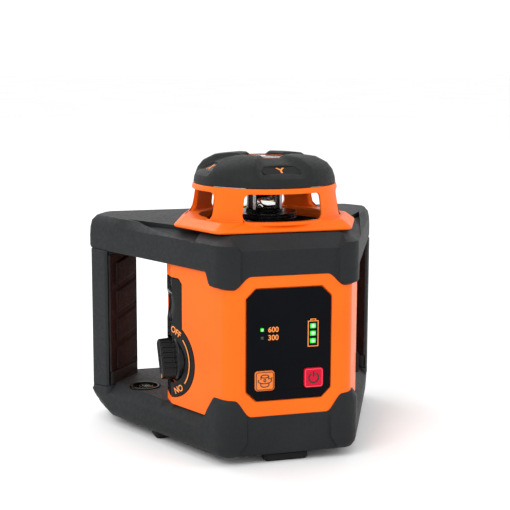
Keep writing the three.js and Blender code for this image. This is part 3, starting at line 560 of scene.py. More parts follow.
def set_camera():
    ahead = Vector(
        (math.sin(HEADING) * math.cos(PITCH), math.cos(HEADING) * math.cos(PITCH), -math.sin(PITCH))
    )
    level = Vector((math.cos(HEADING), -math.sin(HEADING), 0))
    right = level * math.cos(ROLL) + level.cross(ahead) * math.sin(ROLL)
    up = right.cross(ahead)
    data = bpy.data.cameras.new("camera")
    data.lens, data.sensor_width = LENS, SENSOR
    camera = bpy.data.objects.new("camera", data)
    turn = Matrix((right, up, -ahead)).transposed().to_4x4()
    camera.matrix_world = Matrix.Translation(at(*CAMERA_PLACE)) @ turn
    bpy.context.scene.collection.objects.link(camera)
    bpy.context.scene.camera = camera


def set_light(name, place, size, power):
    """A soft square light, places and sizes in metres, aimed at the middle of the object."""
    data = bpy.data.lights.new(name, "AREA")
    data.shape, data.size, data.energy = "SQUARE", size, power
    light = bpy.data.objects.new(name, data)
    light.location = place
    aim = (cad_low + cad_high) / 2 - Vector(place)
    light.rotation_mode = "QUATERNION"
    light.rotation_quaternion = aim.to_track_quat("-Z", "Y")
    bpy.context.scene.collection.objects.link(light)


def set_stage():
    side = 12000
    floor = box("floor", (-side, side), (-side, side), (-8, -0.2))
    look = Look("floor_paper")
    paper, pale_paper = (0.9, 0.9, 0.9), (0.93, 0.93, 0.93)
    look.link(look.ramp(look.noise(3, 3), (0.3, paper), (0.7, pale_paper)), "Base Color")
    look.link(look.spread(look.noise(40, 3), 0.7, 0.85), "Roughness")
    floor.data.materials.append(look.material)
    world = bpy.data.worlds.new("studio")
    world.use_nodes = True
    sky = world.node_tree.nodes["Background"]
    sky.inputs["Color"].default_value, sky.inputs["Strength"].default_value = (1, 1, 1, 1), 1.08
    bpy.context.scene.world = world
    bpy.context.scene.view_settings.view_transform = "Standard"
    set_light("key_light", (-1.1, -1.0, 1.3), 0.9, 13)
    set_light("side_light", (1.5, -0.7, 0.9), 0.8, 4)
    set_light("back_light", (-0.7, 1.3, 1.2), 0.9, 8)


set_camera()
set_stage()


# ---- Guard frames -------------------------------------------------------------------------------
# The outside edges are rounded before the inner cuts, because rounding a face with holes tears it.
# The rounding is clamped: without that it crosses itself and the cuts leave an empty mesh.
CORNER_REACH = 24  # how far the big rounding of the outer corners runs along the frame
CORNER_STEPS = 10  # so that outlines with matching corners also have matching points
WRAP_THICK = 1.95
WRAP_END_Y = 10  # the lips round the front corners end well before this Y
BAND_HALF = 30.6  # half the width of the sunk band between the corner blocks


def dense(outer, inner, pitch=4):
    """Two matching outlines, both with points added about every pitch of the outer one."""
    result = ([], [])
    for i in range(len(outer)):
        ends = [(Vector(p[i]), Vector(p[(i + 1) % len(p)])) for p in (outer, inner)]
        steps = max(1, math.ceil((ends[0][1] - ends[0][0]).length / pitch))
        for k in range(steps):
            for made, (a, b) in zip(result, ends):
                made.append(a.lerp(b, k / steps))
    return result


def near_corner(point):
    """1 at the frame's outer corners, falling smoothly to 0 a reach away from them."""
    away = (Vector((abs(point.x), point.y)) - Vector((END_X, END_Y))).length
    share = max(0.0, 1 - away / CORNER_REACH)
    return share * share * (3 - 2 * share)


def frame_ring(outer, inner, blend, height, corner=None):
    """A ring between the outlines; corner is the (blend, height) at the outer corners."""
    corner = corner or (blend, height)
    ring = []
    for a, b in zip(outer, inner):
        share = near_corner(a)
        place = a.lerp(b, blend + (corner[0] - blend) * share)
        ring.append((place.x, place.y, height + (corner[1] - height) * share))
    return ring


def front_path():
    """(distance from the middle, point, inward normal) along the frame's front outline."""
    plain = rounded(frame_plan, CORNER_STEPS)
    outline = dense(plain, plain, 1.5)[0]
    first = next(
        i for i, p in enumerate(outline) if p.x < 0 and p.y < WRAP_END_Y <= outline[i - 1].y
    )
    path = []
    for k in range(len(outline)):
        point = outline[(first + k) % len(outline)]
        if point.y >= WRAP_END_Y:
            break
        path.append(point)
    travel = [0.0]
    for a, b in zip(path, path[1:]):
        travel.append(travel[-1] + (b - a).length)
    middle = travel[-1] / 2
    rows = []
    for k, point in enumerate(path):
        ahead = (path[min(k + 1, len(path) - 1)] - path[max(k - 1, 0)]).normalized()
        rows.append((travel[k] - middle, point, Vector((-ahead.y, ahead.x))))
    return rows


def steps_of(distance, table):
    """A height that follows a table of (distance, height), straight between its rows."""
    distance = abs(distance)
    for (d0, z0), (d1, z1) in zip(table, table[1:]):
        if distance <= d1:
            share = max(0.0, (distance - d0) / (d1 - d0))
            share = share * share * (3 - 2 * share)
            return z0 + (z1 - z0) * share
    return table[-1][1]


def wrap(name, edge, drop, back, ends=62):
    """The lip that folds over the housing's front corners, from a fixed height to a shaped edge."""
    rings = []
    for distance, point, inward in front_path():
        if abs(distance) > ends:
            continue
        side = min(1.0, max(0.0, (abs(distance) - 36) / 12))
        thick = WRAP_THICK + 1.5 * side
        tip = steps_of(distance, edge)
        inner = point + inward * thick
        rings.append(
            [
                (point.x, point.y, back),
                (point.x, point.y, tip + steps_of(distance, drop)),
                (inner.x, inner.y, tip),
                (inner.x, inner.y, back),
            ]
        )
    return stack(name, rings)


def front_band(name, levels):
    """The sunk band between the two corner blocks, from (height, half width, depth) levels."""
    rings = []
    for z, half, depth in levels:
        mouth, floor = half + 2.6, FRONT_Y + depth
        plan = [(-mouth, FRONT_Y - 2), (mouth, FRONT_Y - 2), (half, floor), (-half, floor)]
        rings.append([(x, y, z) for x, y in plan])
    return stack(name, rings)


def top_frame():
    outer, inner = dense(rounded(frame_plan, CORNER_STEPS), rounded(deck_plan, CORNER_STEPS))
    body = stack(
        "top_frame_skin",
        [
            frame_ring(outer, inner, 0.12, TOP_UNDER_Z),
            frame_ring(outer, inner, 0.0, TOP_UNDER_Z + 1.6),
            frame_ring(outer, inner, 0.0, TOP_FACE_Z - 1.2, (0.0, 128.5)),
            frame_ring(outer, inner, 0.04, TOP_FACE_Z, (0.06, 134.5)),
            frame_ring(outer, inner, 0.5, 140.4, (0.24, 139.2)),
            frame_ring(outer, inner, 0.92, TOP_DECK_Z - 0.25, (0.75, 142.4)),
            frame_ring(outer, inner, 1.0, TOP_DECK_Z, (1.0, TOP_DECK_Z)),
        ],
    )
    corner = [(35.5, TOP_WRAP_Z), (53.5, TOP_WRAP_Z + 0.6), (59, TOP_UNDER_Z + 0.6)]
    edge = [(0, 118.4), (24.5, 118.4), *corner]
    join(body, wrap("top_wrap", edge, [(0, 1.4), (99, 1.4)], TOP_UNDER_Z + 3))
    depth = 1.5
    levels = [(TOP_WRAP_Z - 2, BAND_HALF, depth), (TOP_BAND_Z, BAND_HALF, depth)]
    levels += [(TOP_DECK_Z, BAND_HALF + 7, 11), (TOP_DECK_Z + 3, BAND_HALF + 9.5, 15)]
    bevel(cut(body, front_band("front_band", levels)), 0.7, 2, clamp=True)
    tools = []
    for side in (-1, 1):
        triangle = [(81.5, 42, 139.6), (43, -16, 140.6), (54.4, -33, 136.8)]
        low_ring = [(side * x, y, z) for x, y, z in triangle]
        tools.append(stack("side_facet", [low_ring, [(x, y, 150) for x, y, z in low_ring]]))
    hollow_outer = rounded(inset(frame_plan, WALL))
    hollow_deck = rounded(inset(deck_plan, WALL))
    hollow = stack(
        "hollow",
        [
            [(x, y, TOP_UNDER_Z + WALL) for x, y in hollow_outer],
            [(x, y, TOP_FACE_Z - 5) for x, y in hollow_outer],
            [(x, y, TOP_DECK_Z - WALL - 2) for x, y in hollow_deck],
        ],
    )
    open_plan = rounded(inset(shell_plan, WALL))
    tools += [hollow, slab("under_hole", open_plan, TOP_UNDER_Z - 1, TOP_UNDER_Z + WALL + 1)]
    cut(body, *tools, disc("head_hole", HEAD_HOLE_R, TOP_DECK_Z - 10, TOP_DECK_Z + 2))
    return piece(body, "case", CHARCOAL, "frame_charcoal", "top_frame")


def part_height(x):
    """The slanted joint between the bottom frame and a grip, lower on the outside."""
    share = min(1.0, max(0.0, (abs(x) - 67) / 35))
    return 33 - 8.3 * share


def bottom_frame():
    deck = inset(frame_plan, 6)
    outer, inner = dense(rounded(frame_plan, CORNER_STEPS), rounded(deck, CORNER_STEPS))
    body = stack(
        "bottom_frame_skin",
        [
            frame_ring(outer, inner, 1.0, FLOOR_Z, (1.6, FLOOR_Z + 1)),
            frame_ring(outer, inner, 0.45, FLOOR_Z + 1.2, (0.9, FLOOR_Z + 6)),
            frame_ring(outer, inner, 0.1, FLOOR_Z + 4.2, (0.28, FLOOR_Z + 12)),
            frame_ring(outer, inner, 0.0, FLOOR_Z + 7, (0.0, BOTTOM_FACE_Z - 0.6)),
            frame_ring(outer, inner, 0.0, BOTTOM_FACE_Z, (0.0, BOTTOM_FACE_Z)),
            frame_ring(outer, inner, 1.0, BOTTOM_DECK_Z),
        ],
    )
    top = BOTTOM_WRAP_Z - 0.4
    edge = [(0, BOTTOM_LEDGE_Z), (24.5, BOTTOM_LEDGE_Z), (35, top), (53, top), (64, BOTTOM_DECK_Z)]
    drop = [(0, -8), (24.5, -8), (36, -4.6), (99, -4.6)]
    join(body, wrap("bottom_wrap", edge, drop, BOTTOM_FACE_Z - 4, 64))
    for side in (-1, 1):
        plan = GRIP_PLAN if side > 0 else flip_x(GRIP_PLAN)
        outline = rounded(plan)
        corner = stack(
            "corner",
            [
                [(x, y, BOTTOM_FACE_Z - 0.8) for x, y in outline],
                [(x, y, part_height(x) - GAP) for x, y in outline],
            ],
        )
        join(body, corner)
    lowest, highest = inset(frame_plan, 8), inset(frame_plan, WALL)
    hollow = stack(
        "hollow",
        [
            [(x, y, FLOOR_Z + WALL) for x, y in rounded(lowest)],
            [(x, y, FLOOR_Z + 9) for x, y in rounded(highest)],
            [(x, y, BOTTOM_FACE_Z - 2) for x, y in rounded(highest)],
            [(x, y, BOTTOM_DECK_Z - WALL) for x, y in rounded(lowest)],
        ],
    )
    cup_low, rim = low_high("vial_cup")[0].z - GAP, BOTTOM_DECK_Z + 1.2
    vial_hole = turned(
        "vial_hole",
        [(0, cup_low), (10.25, cup_low), (10.25, BOTTOM_DECK_Z - 1), (12.4, rim), (0, rim)],
        centre=middle_of("vial_cup")[:2],
        closed=False,
    )
    depth = 1.3
    levels = [(FLOOR_Z - 2, 34, 4), (7, 32, 2.4)]
    levels += [(15, 26.5, depth), (28, 26.5, depth), (33, 28, depth)]
    room = slab("shell_room", rounded(inset(shell_plan, -GAP)), BOTTOM_DECK_Z, BOTTOM_WRAP_Z + 4)
    bevel(cut(body, front_band("front_band", levels)), 0.7, 2, clamp=True)
    open_plan = rounded(inset(shell_plan, WALL))
    cut(
        body,
        hollow,
        slab("shell_hole", open_plan, BOTTOM_DECK_Z - WALL - 1, BOTTOM_DECK_Z + 1),
        disc("base_hole", 38.4, FLOOR_Z - 1, FLOOR_Z + WALL + 1),
        vial_hole,
        room,
    )
    return piece(body, "case", CHARCOAL, "frame_charcoal", "bottom_frame")


top_frame()
bottom_frame()


# ---- Grips --------------------------------------------------------------------------------------
FACE_FROM, FACE_TO = Vector(GRIP_PLAN[0][:2]), Vector(GRIP_PLAN[4][:2])
FACE_ALONG = (FACE_TO - FACE_FROM).normalized()
FACE_OUT = Vector((-FACE_ALONG.y, FACE_ALONG.x))
FACE_LENGTH = (FACE_TO - FACE_FROM).length


def on_face(along, out, side):
    point = FACE_FROM + FACE_ALONG * along + FACE_OUT * out
    return side * point.x, point.y


def on_grip(start, end, low, high, side):
    """A rectangle along the grip's inner face, between two depths."""
    return [on_face(a, o, side) for a, o in ((start, low), (end, low), (end, high), (start, high))]


def grip(name, side):
    plan = GRIP_PLAN if side > 0 else flip_x(GRIP_PLAN)
    outline = rounded(plan)
    body = stack(
        name + "_grip_skin",
        [[(x, y, part_height(x)) for x, y in outline], [(x, y, GRIP_HIGH_Z) for x, y in outline]],
    )
    recess = on_grip(2.2, FACE_LENGTH - 2.6, -2.4, 4, side)
    cut(body, slab("pad_recess", recess, 36.5, 117.5))
    bevel(body, 0.6)
    piece(body, "case", CHARCOAL, "frame_charcoal", name + "_grip")

    backing = on_grip(2.4, FACE_LENGTH - 2.8, -2.2, -0.5, side)
    pad = slab(name + "_grip_pad_skin", backing, 36.8, 117.2)
    near, far, lean = 9.5, FACE_LENGTH - 5, 4.5
    for k in range(4):
        middle = 79 + (k - 1.5) * 19.5
        half = 7.6
        rings = []
        for out, shrink in ((-0.8, 0), (0.2, 0), (0.9, 0.9)):
            ring = []
            slanted = ((near, -half - lean), (far, -half), (far, half), (near, half - lean))
            for along, lift in slanted:
                pull = shrink if along == near else -shrink
                inner = shrink if lift < 0 else -shrink
                x, y = on_face(along + pull, out, side)
                ring.append((x, y, middle + lift + inner))
            rings.append(ring)
        join(pad, stack("pad", rings))
    bevel(pad, 0.45, 2)
    piece(pad, "case", GRIP_RUBBER, "grip_rubber", name + "_grip_pad")


grip("left", -1)
grip("right", 1)


# ---- Housing ------------------------------------------------------------------------------------
COVER_HALF, COVER_Z = 32, (34, 96)
POCKET_X = KNOB_HIGH.x + GAP
PORT_Y, PORT_Z = 1, 47


def panel_outline(grow):
    half, c = PANEL_HIGH.x + grow, PANEL_CHAMFER + 0.41 * grow
    low, high = PANEL_LOW.z - grow, PANEL_HIGH.z + grow
    return [
        (c - half, low), (half - c, low), (half, low + c), (half, high - c),
        (half - c, high), (c - half, high), (-half, high - c), (-half, low + c),
    ]


def dial_outline(shrink):
    """The strip with a round end about the knob, as (Y, Z) points."""
    radius, half, top = DIAL_R - shrink, STRIP_HALF - shrink, DIAL_TOP_Z - shrink
    shoulder = math.acos(half / radius)
    steps = 48
    chamfer = 3
    corners = ((half, top - chamfer), (half - chamfer, top), (chamfer - half, top))
    points = [(KNOB_Y + y, z) for y, z in corners] + [(KNOB_Y - half, top - chamfer)]
    for k in range(steps + 1):
        angle = math.pi - shoulder + (math.pi + 2 * shoulder) * k / steps
        points.append((KNOB_Y + radius * math.cos(angle), KNOB_Z + radius * math.sin(angle)))
    return points


def skin(name, shallow, deep, shrink):
    """A layer of the housing's left side between two depths, inside the dial's outline."""
    layer = slab(name, rounded(inset(shell_plan, shallow), 12), 20, 121)
    cut(layer, slab("inside", rounded(inset(shell_plan, deep), 12), 10, 130))
    return keep(layer, slab("outline", dial_outline(shrink), -80, -45, "side"))


def scoop(depth):
    """The finger hollow above the knob: a wide round cut across the dial's strip."""
    radius = 26
    return disc("scoop", radius, -40, 36, "front", (-SIDE_X - radius + depth, 92.5), 96)


def housing():
    body = slab("body_skin", rounded(shell_plan, 12), *SHELL_Z)
    cut(body, slab("inside", rounded(inset(shell_plan, WALL), 12), SHELL_Z[0] - 1, SHELL_Z[1] + 1))
    knob_at = (KNOB_Y, KNOB_Z)
    cup = disc("cup", RECESS_R + 2, -SIDE_X, POCKET_X + 2, "side", knob_at)
    join(body, keep(cup, slab("cup_room", rounded(inset(shell_plan, 1)), *SHELL_Z)))
    face = SHELL_FRONT_Y
    dish = stack(
        "dish",
        [
            [(x, face - 1, z) for x, z in panel_outline(6.2)],
            [(x, face - 0.01, z) for x, z in panel_outline(5.2)],
            [(x, face + 0.95, z) for x, z in panel_outline(0.5)],
            [(x, face + 2.0, z) for x, z in panel_outline(0.4)],
        ],
    )
    cover = rounded(rectangle(-COVER_HALF, COVER_HALF, *COVER_Z, 4))
    cut(
        body,
        dish,
        plate("board_window", (-22.5, 22.5, 46.5, 102), 0, face - 1, face + WALL + 1),
        slab("cover_hole", cover, SHELL_BACK_Y - WALL - 1, SHELL_BACK_Y + 1, "front"),
        disc("port_hole", 4.9, SIDE_X - WALL - 1, SIDE_X + 1, "side", (PORT_Y, PORT_Z)),
        skin("dial_pocket", -1, 2.7, 0),
        disc("knob_pocket", RECESS_R, -80, POCKET_X, "side", knob_at),
        disc("shaft_hole", 3.4, POCKET_X - 1, POCKET_X + 4, "side", knob_at),
    )
    bevel(body, 0.45)
    return piece(body, "case", ORANGE, "housing_orange", "body_shell")


def dial():
    plate = skin("dial_skin", 0, 2.4, 0.35)
    cut(plate, disc("knob_pocket", RECESS_R, -80, -40, "side", (KNOB_Y, KNOB_Z)), scoop(2.0))
    bevel(plate, 0.35, 2)
    return piece(plate, "case", INLAY, "panel_black", "lock_dial")


housing()
dial()


# ---- Print: lines, numbers and icons -------------------------------------------------------------
def ribbon(path, width, closed=False):
    """The outline pairs of a line of some width along a flat path."""
    points = [Vector(p) for p in path]
    count = len(points)
    pairs = []
    for i, point in enumerate(points):
        before = points[i - 1] if (closed or i) else None
        after = points[(i + 1) % count] if (closed or i + 1 < count) else None
        a = (point - before).normalized() if before is not None else None
        b = (after - point).normalized() if after is not None else None
        a, b = a or b, b or a
        normal = Vector((-(a + b).y, (a + b).x)).normalized()
        reach = width / 2 / max(0.4, normal.dot(Vector((-a.y, a.x))))
        pairs.append((point + normal * reach, point - normal * reach))
    return pairs


def lines(name, paths, width, place, thick=0.12):
    """Raised lines along (points, closed) paths; place(u, v, d) puts them on a surface."""
    points, faces = [], []
    for path, closed in paths:
        pairs = ribbon(path, width, closed)
        base = len(points)
        for a, b in pairs:
            for end, depth in ((a, 0), (b, 0), (b, thick), (a, thick)):
                points.append(place(end.x, end.y, depth))
        count = len(pairs)
        for i in range(count if closed else count - 1):
            p, q = base + 4 * i, base + 4 * ((i + 1) % count)
            for k in range(4):
                faces.append((p + k, p + (k + 1) % 4, q + (k + 1) % 4, q + k))
        if not closed:
            end = base + 4 * (count - 1)
            faces += [(base + 3, base + 2, base + 1, base), (end, end + 1, end + 2, end + 3)]
    return make(name, points, faces)


def arc(centre, radius, first, last, steps=24, flat=1.0):
    """Points of an arc between two angles in degrees; flat squeezes it to an ellipse."""
    angles = [math.radians(first + (last - first) * k / steps) for k in range(steps + 1)]
    x, y = centre
    return [(x + radius * math.cos(a), y + radius * flat * math.sin(a)) for a in angles]


def circle(centre, radius, steps=36, flat=1.0):
    return arc(centre, radius, 0, 360, steps, flat)[:-1]


PRINT_THICK = 0.12


def words(name, text, height, centre, turn, place):
    """Text of a height, turned by an angle about its centre and put on a surface."""
    curve = bpy.data.curves.new(name, "FONT")
    curve.body, curve.size, curve.resolution_u = text, 1.0, 6
    curve.offset = 0.02
    source = bpy.data.objects.new(name, curve)
    bpy.context.scene.collection.objects.link(source)
    graph = bpy.context.evaluated_depsgraph_get()
    flat = bpy.data.meshes.new_from_object(source.evaluated_get(graph))
    bpy.data.objects.remove(source)
    work = bmesh.new()
    work.from_mesh(flat)
    bmesh.ops.remove_doubles(work, verts=work.verts, dist=1e-5)
    grown = bmesh.ops.extrude_face_region(work, geom=list(work.faces))
    raised = {v for v in grown["geom"] if isinstance(v, bmesh.types.BMVert)}
    xs, ys = [v.co.x for v in work.verts], [v.co.y for v in work.verts]
    middle = Vector(((min(xs) + max(xs)) / 2, (min(ys) + max(ys)) / 2))
    scale = height / (max(ys) - min(ys))
    for v in work.verts:
        u, w = (v.co.x - middle.x) * scale, (v.co.y - middle.y) * scale
        u, w = u * math.cos(turn) - w * math.sin(turn), u * math.sin(turn) + w * math.cos(turn)
        v.co = at(*place(centre[0] + u, centre[1] + w, PRINT_THICK if v in raised else 0))
    bmesh.ops.recalc_face_normals(work, faces=work.faces)
    mesh = bpy.data.meshes.new(name)
    work.to_mesh(mesh)
    work.free()
    obj = bpy.data.objects.new(name, mesh)
    bpy.context.scene.collection.objects.link(obj)
    return obj


def on_front(face_y):
    """Puts (X, Z) print on a front face."""
    return lambda u, v, d: (u, face_y - d, v)


dial_edge = sorted((y, x) for x, y in rounded(shell_plan, 12) if x < -44 and y < 55)


def on_dial(u, v, d):
    """Puts print on the dial, along the housing's side; u runs towards -Y, as it is read."""
    y = -u
    for (y0, x0), (y1, x1) in zip(dial_edge, dial_edge[1:]):
        if y <= y1:
            x = x0 + (x1 - x0) * (y - y0) / (y1 - y0)
            break
    return x - d, y, v


def print_on_panel():
    place = on_front(PANEL_LOW.y - 0.01)
    speed_high, speed_low = low_high("speed_led_fast"), low_high("speed_led_slow")
    for text, (low, high) in (("600", speed_high), ("300", speed_low)):
        at_z = (low.z + high.z) / 2
        number = words("number_" + text, text, 3.4, (high.x + 6.1, at_z), 0, place)
        piece(number, "case", PRINT, "button_orange")
    low, high = low_high("battery_led_bottom")[0], low_high("battery_led_top")[1]
    x0, x1, z0, z1 = low.x - 1.4, high.x + 1.4, low.z - 1.8, high.z + 1.6
    middle = (x0 + x1) / 2
    frame_line = [(x0, z0), (x1, z0), (x1, z1), (x0, z1)]
    corners = ((-1.6, 0.1), (-1.6, 1.2), (1.6, 1.2), (1.6, 0.1))
    cap_line = [(middle + x, z1 + z) for x, z in corners]
    icon = lines("battery_icon", [(frame_line, True), (cap_line, False)], 0.55, place)
    piece(icon, "case", PRINT, "button_orange")


def key_border(low, high, grow):
    corners = rectangle(low.x - grow, high.x + grow, low.z - grow, high.z + grow, 1.9 + grow)
    return rounded(corners, 6)


def keys():
    """The two square keys with their printed icons and rims."""
    for name, look, slot, rim in (
        ("power_button", KEY_RED, "button_red", PRINT_RED),
        ("speed_button", KEY_ORANGE, "button_orange", PRINT),
    ):
        low, high = low_high(name)
        body = "power_key" if name == "power_button" else "speed_key"
        cap = slab(name + "_cap", key_border(low, high, 0), low.y, low.y + 3, "front")
        stem_x, stem_z = (low.x + high.x) / 2, (low.z + high.z) / 2
        around = (stem_x - 2.5, stem_x + 2.5, stem_z - 2.5, stem_z + 2.5)
        stem = plate("stem", around, 0, low.y + 2, high.y)
        join(cap, stem)
        bevel(cap, 0.35, 3)
        piece(cap, body, look, slot, name)
        place = on_front(low.y - 0.01)
        inner = lines(name + "_rim", [(key_border(low, high, -0.75), True)], 0.4, place, 0.1)
        piece(inner, body, rim if name == "power_button" else PRINT_DARK, slot)
        centre = (stem_x, stem_z)
        if name == "power_button":
            bar = [(stem_x, stem_z + 0.7), (stem_x, stem_z + 4)]
            marks = [(arc(centre, 3.1, 122, 418, 32), False), (bar, False)]
            icon = lines("power_icon", marks, 0.95, place, 0.1)
        else:
            icon = lines("speed_icon", speed_marks(*centre), 0.55, place, 0.1)
        piece(icon, body, PRINT_DARK, slot)


def speed_marks(x, z):
    """A turning drum: a round top, two sides, a round bottom, and an arrow round its waist."""
    marks = [(circle((x, z + 2.9), 2.5, 28, 0.38), True)]
    marks.append(([(x - 2.5, z + 2.8), (x - 2.5, z + 0.9)], False))
    marks.append(([(x + 2.5, z + 2.8), (x + 2.5, z + 0.9)], False))
    marks.append((arc((x, z + 0.2), 4.3, 155, 385, 28, 0.42), False))
    marks.append(([(x + 3.0, z + 1.5), (x + 4.1, z + 0.9), (x + 4.6, z + 2.1)], False))
    marks.append((arc((x, z - 2.6), 2.6, 180, 360, 18, 0.45), False))
    marks.append(([(x - 2.6, z - 2.6), (x - 2.6, z - 1.4)], False))
    marks.append(([(x + 2.6, z - 2.6), (x + 2.6, z - 1.4)], False))
    marks.append((circle((x, z + 0.3), 0.7, 16), True))
    return marks


def print_on_dial():
    def polar(radius, degrees):
        angle = math.radians(degrees)
        return -(KNOB_Y + radius * math.cos(angle)), KNOB_Z + radius * math.sin(angle)

    middle_r = (RECESS_R + DIAL_R) / 2 + 0.3
    sweep = [polar(middle_r, 134 + 85.5 * k / 28) for k in range(29)]
    piece(lines("dial_arc", [(sweep, False)], 0.8, on_dial), "case", PRINT, "button_orange")
    for text, degrees in (("ON", 241), ("OFF", 112)):
        turn = math.radians(90 - degrees)
        label = words("dial_" + text.lower(), text, 4.2, polar(middle_r, degrees), turn, on_dial)
        piece(label, "case", PRINT, "button_orange")


print_on_panel()
keys()
print_on_dial()


# ---- Lock knob ----------------------------------------------------------------------------------
def lock_knob():
    """A round skirt, and a finger bar across it with ribbed flanks."""
    centre = (KNOB_Y, KNOB_Z)
    deep, shallow, tip = KNOB_HIGH.x, -61.3, KNOB_LOW.x
    skirt_r = (KNOB_HIGH.z - KNOB_LOW.z) / 2
    knob = turned(
        "lock_knob_skin",
        [
            (0, deep), (skirt_r, deep), (skirt_r, shallow + 1),
            (skirt_r - 1, shallow), (0, shallow - 0.8),
        ],
        facing="side",
        centre=centre,
        closed=False,
    )
    c, s = math.cos(POINTER_ANGLE), math.sin(POINTER_ANGLE)

    def turn(u, v, x):
        """u runs along the bar, towards its pointing end, and v across it."""
        return x, KNOB_Y + u * c - v * s, KNOB_Z + u * s + v * c

    def block(u0, u1, half, radius, x0, x1, shrink=0.6):
        rings = []
        for x, less in ((x0, 0), (x1, shrink)):
            plan = rounded(rectangle(u0 + less, u1 - less, less - half, half - less, radius), 6)
            rings.append([turn(u, v, x) for u, v in plan])
        return stack("block", rings)

    join(knob, block(-13.4, 13.4, 5.2, 3, shallow + 1, tip))
    ribs = []
    for k in range(6):
        u = -9.8 + 3.4 * k
        ribs.append(block(u - 0.8, u + 0.8, 6.1, 0, shallow + 0.6, tip + 1.1, 0.3))
    join(knob, *ribs)
    bevel(knob, 0.3, 2)
    piece(knob, "knob", KNOB_BLACK, "knob_charcoal", "lock_knob")
    line = rectangle(10, 12.6, -0.7, 0.7)
    rings = [[turn(u, v, x) for u, v, _ in line] for x in (tip + 0.1, tip - 0.08)]
    mark = stack("knob_mark", rings)
    piece(mark, "knob", PRINT, "button_orange")


lock_knob()


# ---- Laser head ---------------------------------------------------------------------------------
def head_cage():
    base = CAGE_LOW
    rings = []
    for shrink, rise in ((1, 0), (0, 0.8), (0.4, 2), (6.5, 6.4)):
        rings.append([(x, y, base + rise) for x, y in rounded(inset(flange_plan, shrink), 12)])
    cage = stack("head_cage_skin", rings)

    def cone(name, shrink, low, high):
        rings = []
        for share, z in ((0, low), (1, high)):
            a = 51.5 + (46 - 51.5) * share - shrink
            b = 46 - shrink
            turns = [2 * math.pi * k / 96 for k in range(96)]
            rings.append([(a * math.cos(t), b * math.sin(t), z) for t in turns])
        return stack(name, rings)

    join(cage, cone("cone", 0, base + 4, CAP_Z))
    low, high = WINDOW_Z
    windows = []
    for quarter in range(4):
        angle = math.pi / 2 * quarter
        c, s = math.cos(angle), math.sin(angle)
        outline = rounded([(-26, low, 4), (26, low, 4), (24, high, 3.5), (-24, high, 3.5)], 6)
        rings = [[(u * c - d * s, u * s + d * c, v) for u, v in outline] for d in (22, 80)]
        windows.append(stack("window", rings))
    hole = disc("hole", HEAD_HOLE_R, base - 1, low + 1, sides=96)
    cut(cage, cone("inside", WALL, low, CAP_Z + 1), hole, *windows)
    bevel(cage, 0.7)
    piece(cage, "case", ORANGE, "housing_orange", "head_cage")


CAP_LOW = low_high("head_cap")[0].z
CAP_R = low_high("head_cap")[1].x
CAP_HOLE_R = 15.2
FACET_MIDDLE, FACET_LEAN = (35.4, 181.0), math.radians(26.6)


def on_facet(angle):
    """Puts (u, v) print on the sloped facet that faces an angle; v runs up the slope."""
    out = Vector((math.cos(angle), math.sin(angle), 0))
    across = Vector((-out.y, out.x, 0))
    up = -out * math.cos(FACET_LEAN) + Vector((0, 0, math.sin(FACET_LEAN)))
    normal = out * math.sin(FACET_LEAN) + Vector((0, 0, math.cos(FACET_LEAN)))
    middle = out * FACET_MIDDLE[0] + Vector((0, 0, FACET_MIDDLE[1]))

    def place(u, v, d):
        return tuple(middle + across * u + up * v + normal * d)

    return place


def head_cap():
    """A cap with a facet towards each side and raised lobes between them."""
    facet = [
        (CAP_R, CAP_LOW), (CAP_R - 0.4, 173.6), (44.4, 175.8), (41.6, 177.9),
        (29.5, 183.9), (21, 186.2), (17.4, 186.7), (CAP_HOLE_R, 186.0),
    ]
    lobe = [
        (CAP_R, CAP_LOW), (CAP_R - 0.5, 175), (43.6, 179.4), (40.2, 183.6),
        (33, 187.2), (24, 188.3), (17.6, 188.4), (CAP_HOLE_R, 187.4),
    ]
    under = [(CAP_HOLE_R, 183.4), (31, 181), (38.5, 176.5), (42.2, 172), (42.2, CAP_LOW)]
    sides = 180
    rings = []
    for k in range(sides):
        angle = 2 * math.pi * k / sides
        off = abs((math.degrees(angle) + 45) % 90 - 45)
        share = min(1.0, max(0.0, (off - 19) / 6))
        c, s = math.cos(angle), math.sin(angle)
        ring = []
        for (r0, z0), (r1, z1) in zip(facet, lobe):
            r = r0 + (r1 - r0) * share
            ring.append((r * c, r * s, z0 + (z1 - z0) * share))
        ring += [(r * c, r * s, z) for r, z in under]
        rings.append(ring)
    cap = stack("head_cap_skin", rings, looped=True)
    tools = []
    outline = [(-11.5, -4.6), (11.5, -4.6), (12.6, -1), (9.6, 4.6), (-9.6, 4.6), (-12.6, -1)]
    for quarter, text in enumerate(("X", "Y", "X", "Y")):
        angle = math.pi / 2 * quarter
        place = on_facet(angle)
        tools.append(stack("inlay_hole", [[place(u, v, d) for u, v in outline] for d in (-0.9, 4)]))
        smaller = [(u * 0.96, v * 0.96) for u, v in outline]
        rings = [[place(u, v, d) for u, v in smaller] for d in (-1.3, -0.75)]
        inlay = stack("cap_inlay_" + str(quarter), rings)
        piece(inlay, "case", INLAY, "panel_black")
        on_inlay = lambda u, v, d, p=place: p(u, v, d - 0.74)
        letter = words("axis_letter_" + str(quarter), text, 6.0, (0, 0), 0, on_inlay)
        piece(letter, "case", PRINT, "button_orange")
    cut(cap, *tools)
    bevel(cap, 0.4, 2)
    piece(cap, "case", CAP_BLACK, "frame_charcoal", "head_cap")


def cap_ring():
    """The orange lining of the cap's hole."""
    low, high = low_high("cap_ring")
    inner = low_high("cap_window")[1].x + 0.3
    top = [(high.x, 186.4), (inner + 0.9, 186.6), (inner, 185.9)]
    profile = [(inner, low.z), (high.x, low.z), *top]
    ring = turned("cap_ring_skin", profile, sides=96)
    piece(bevel(ring, 0.2, 2), "case", ORANGE, "housing_orange", "cap_ring")


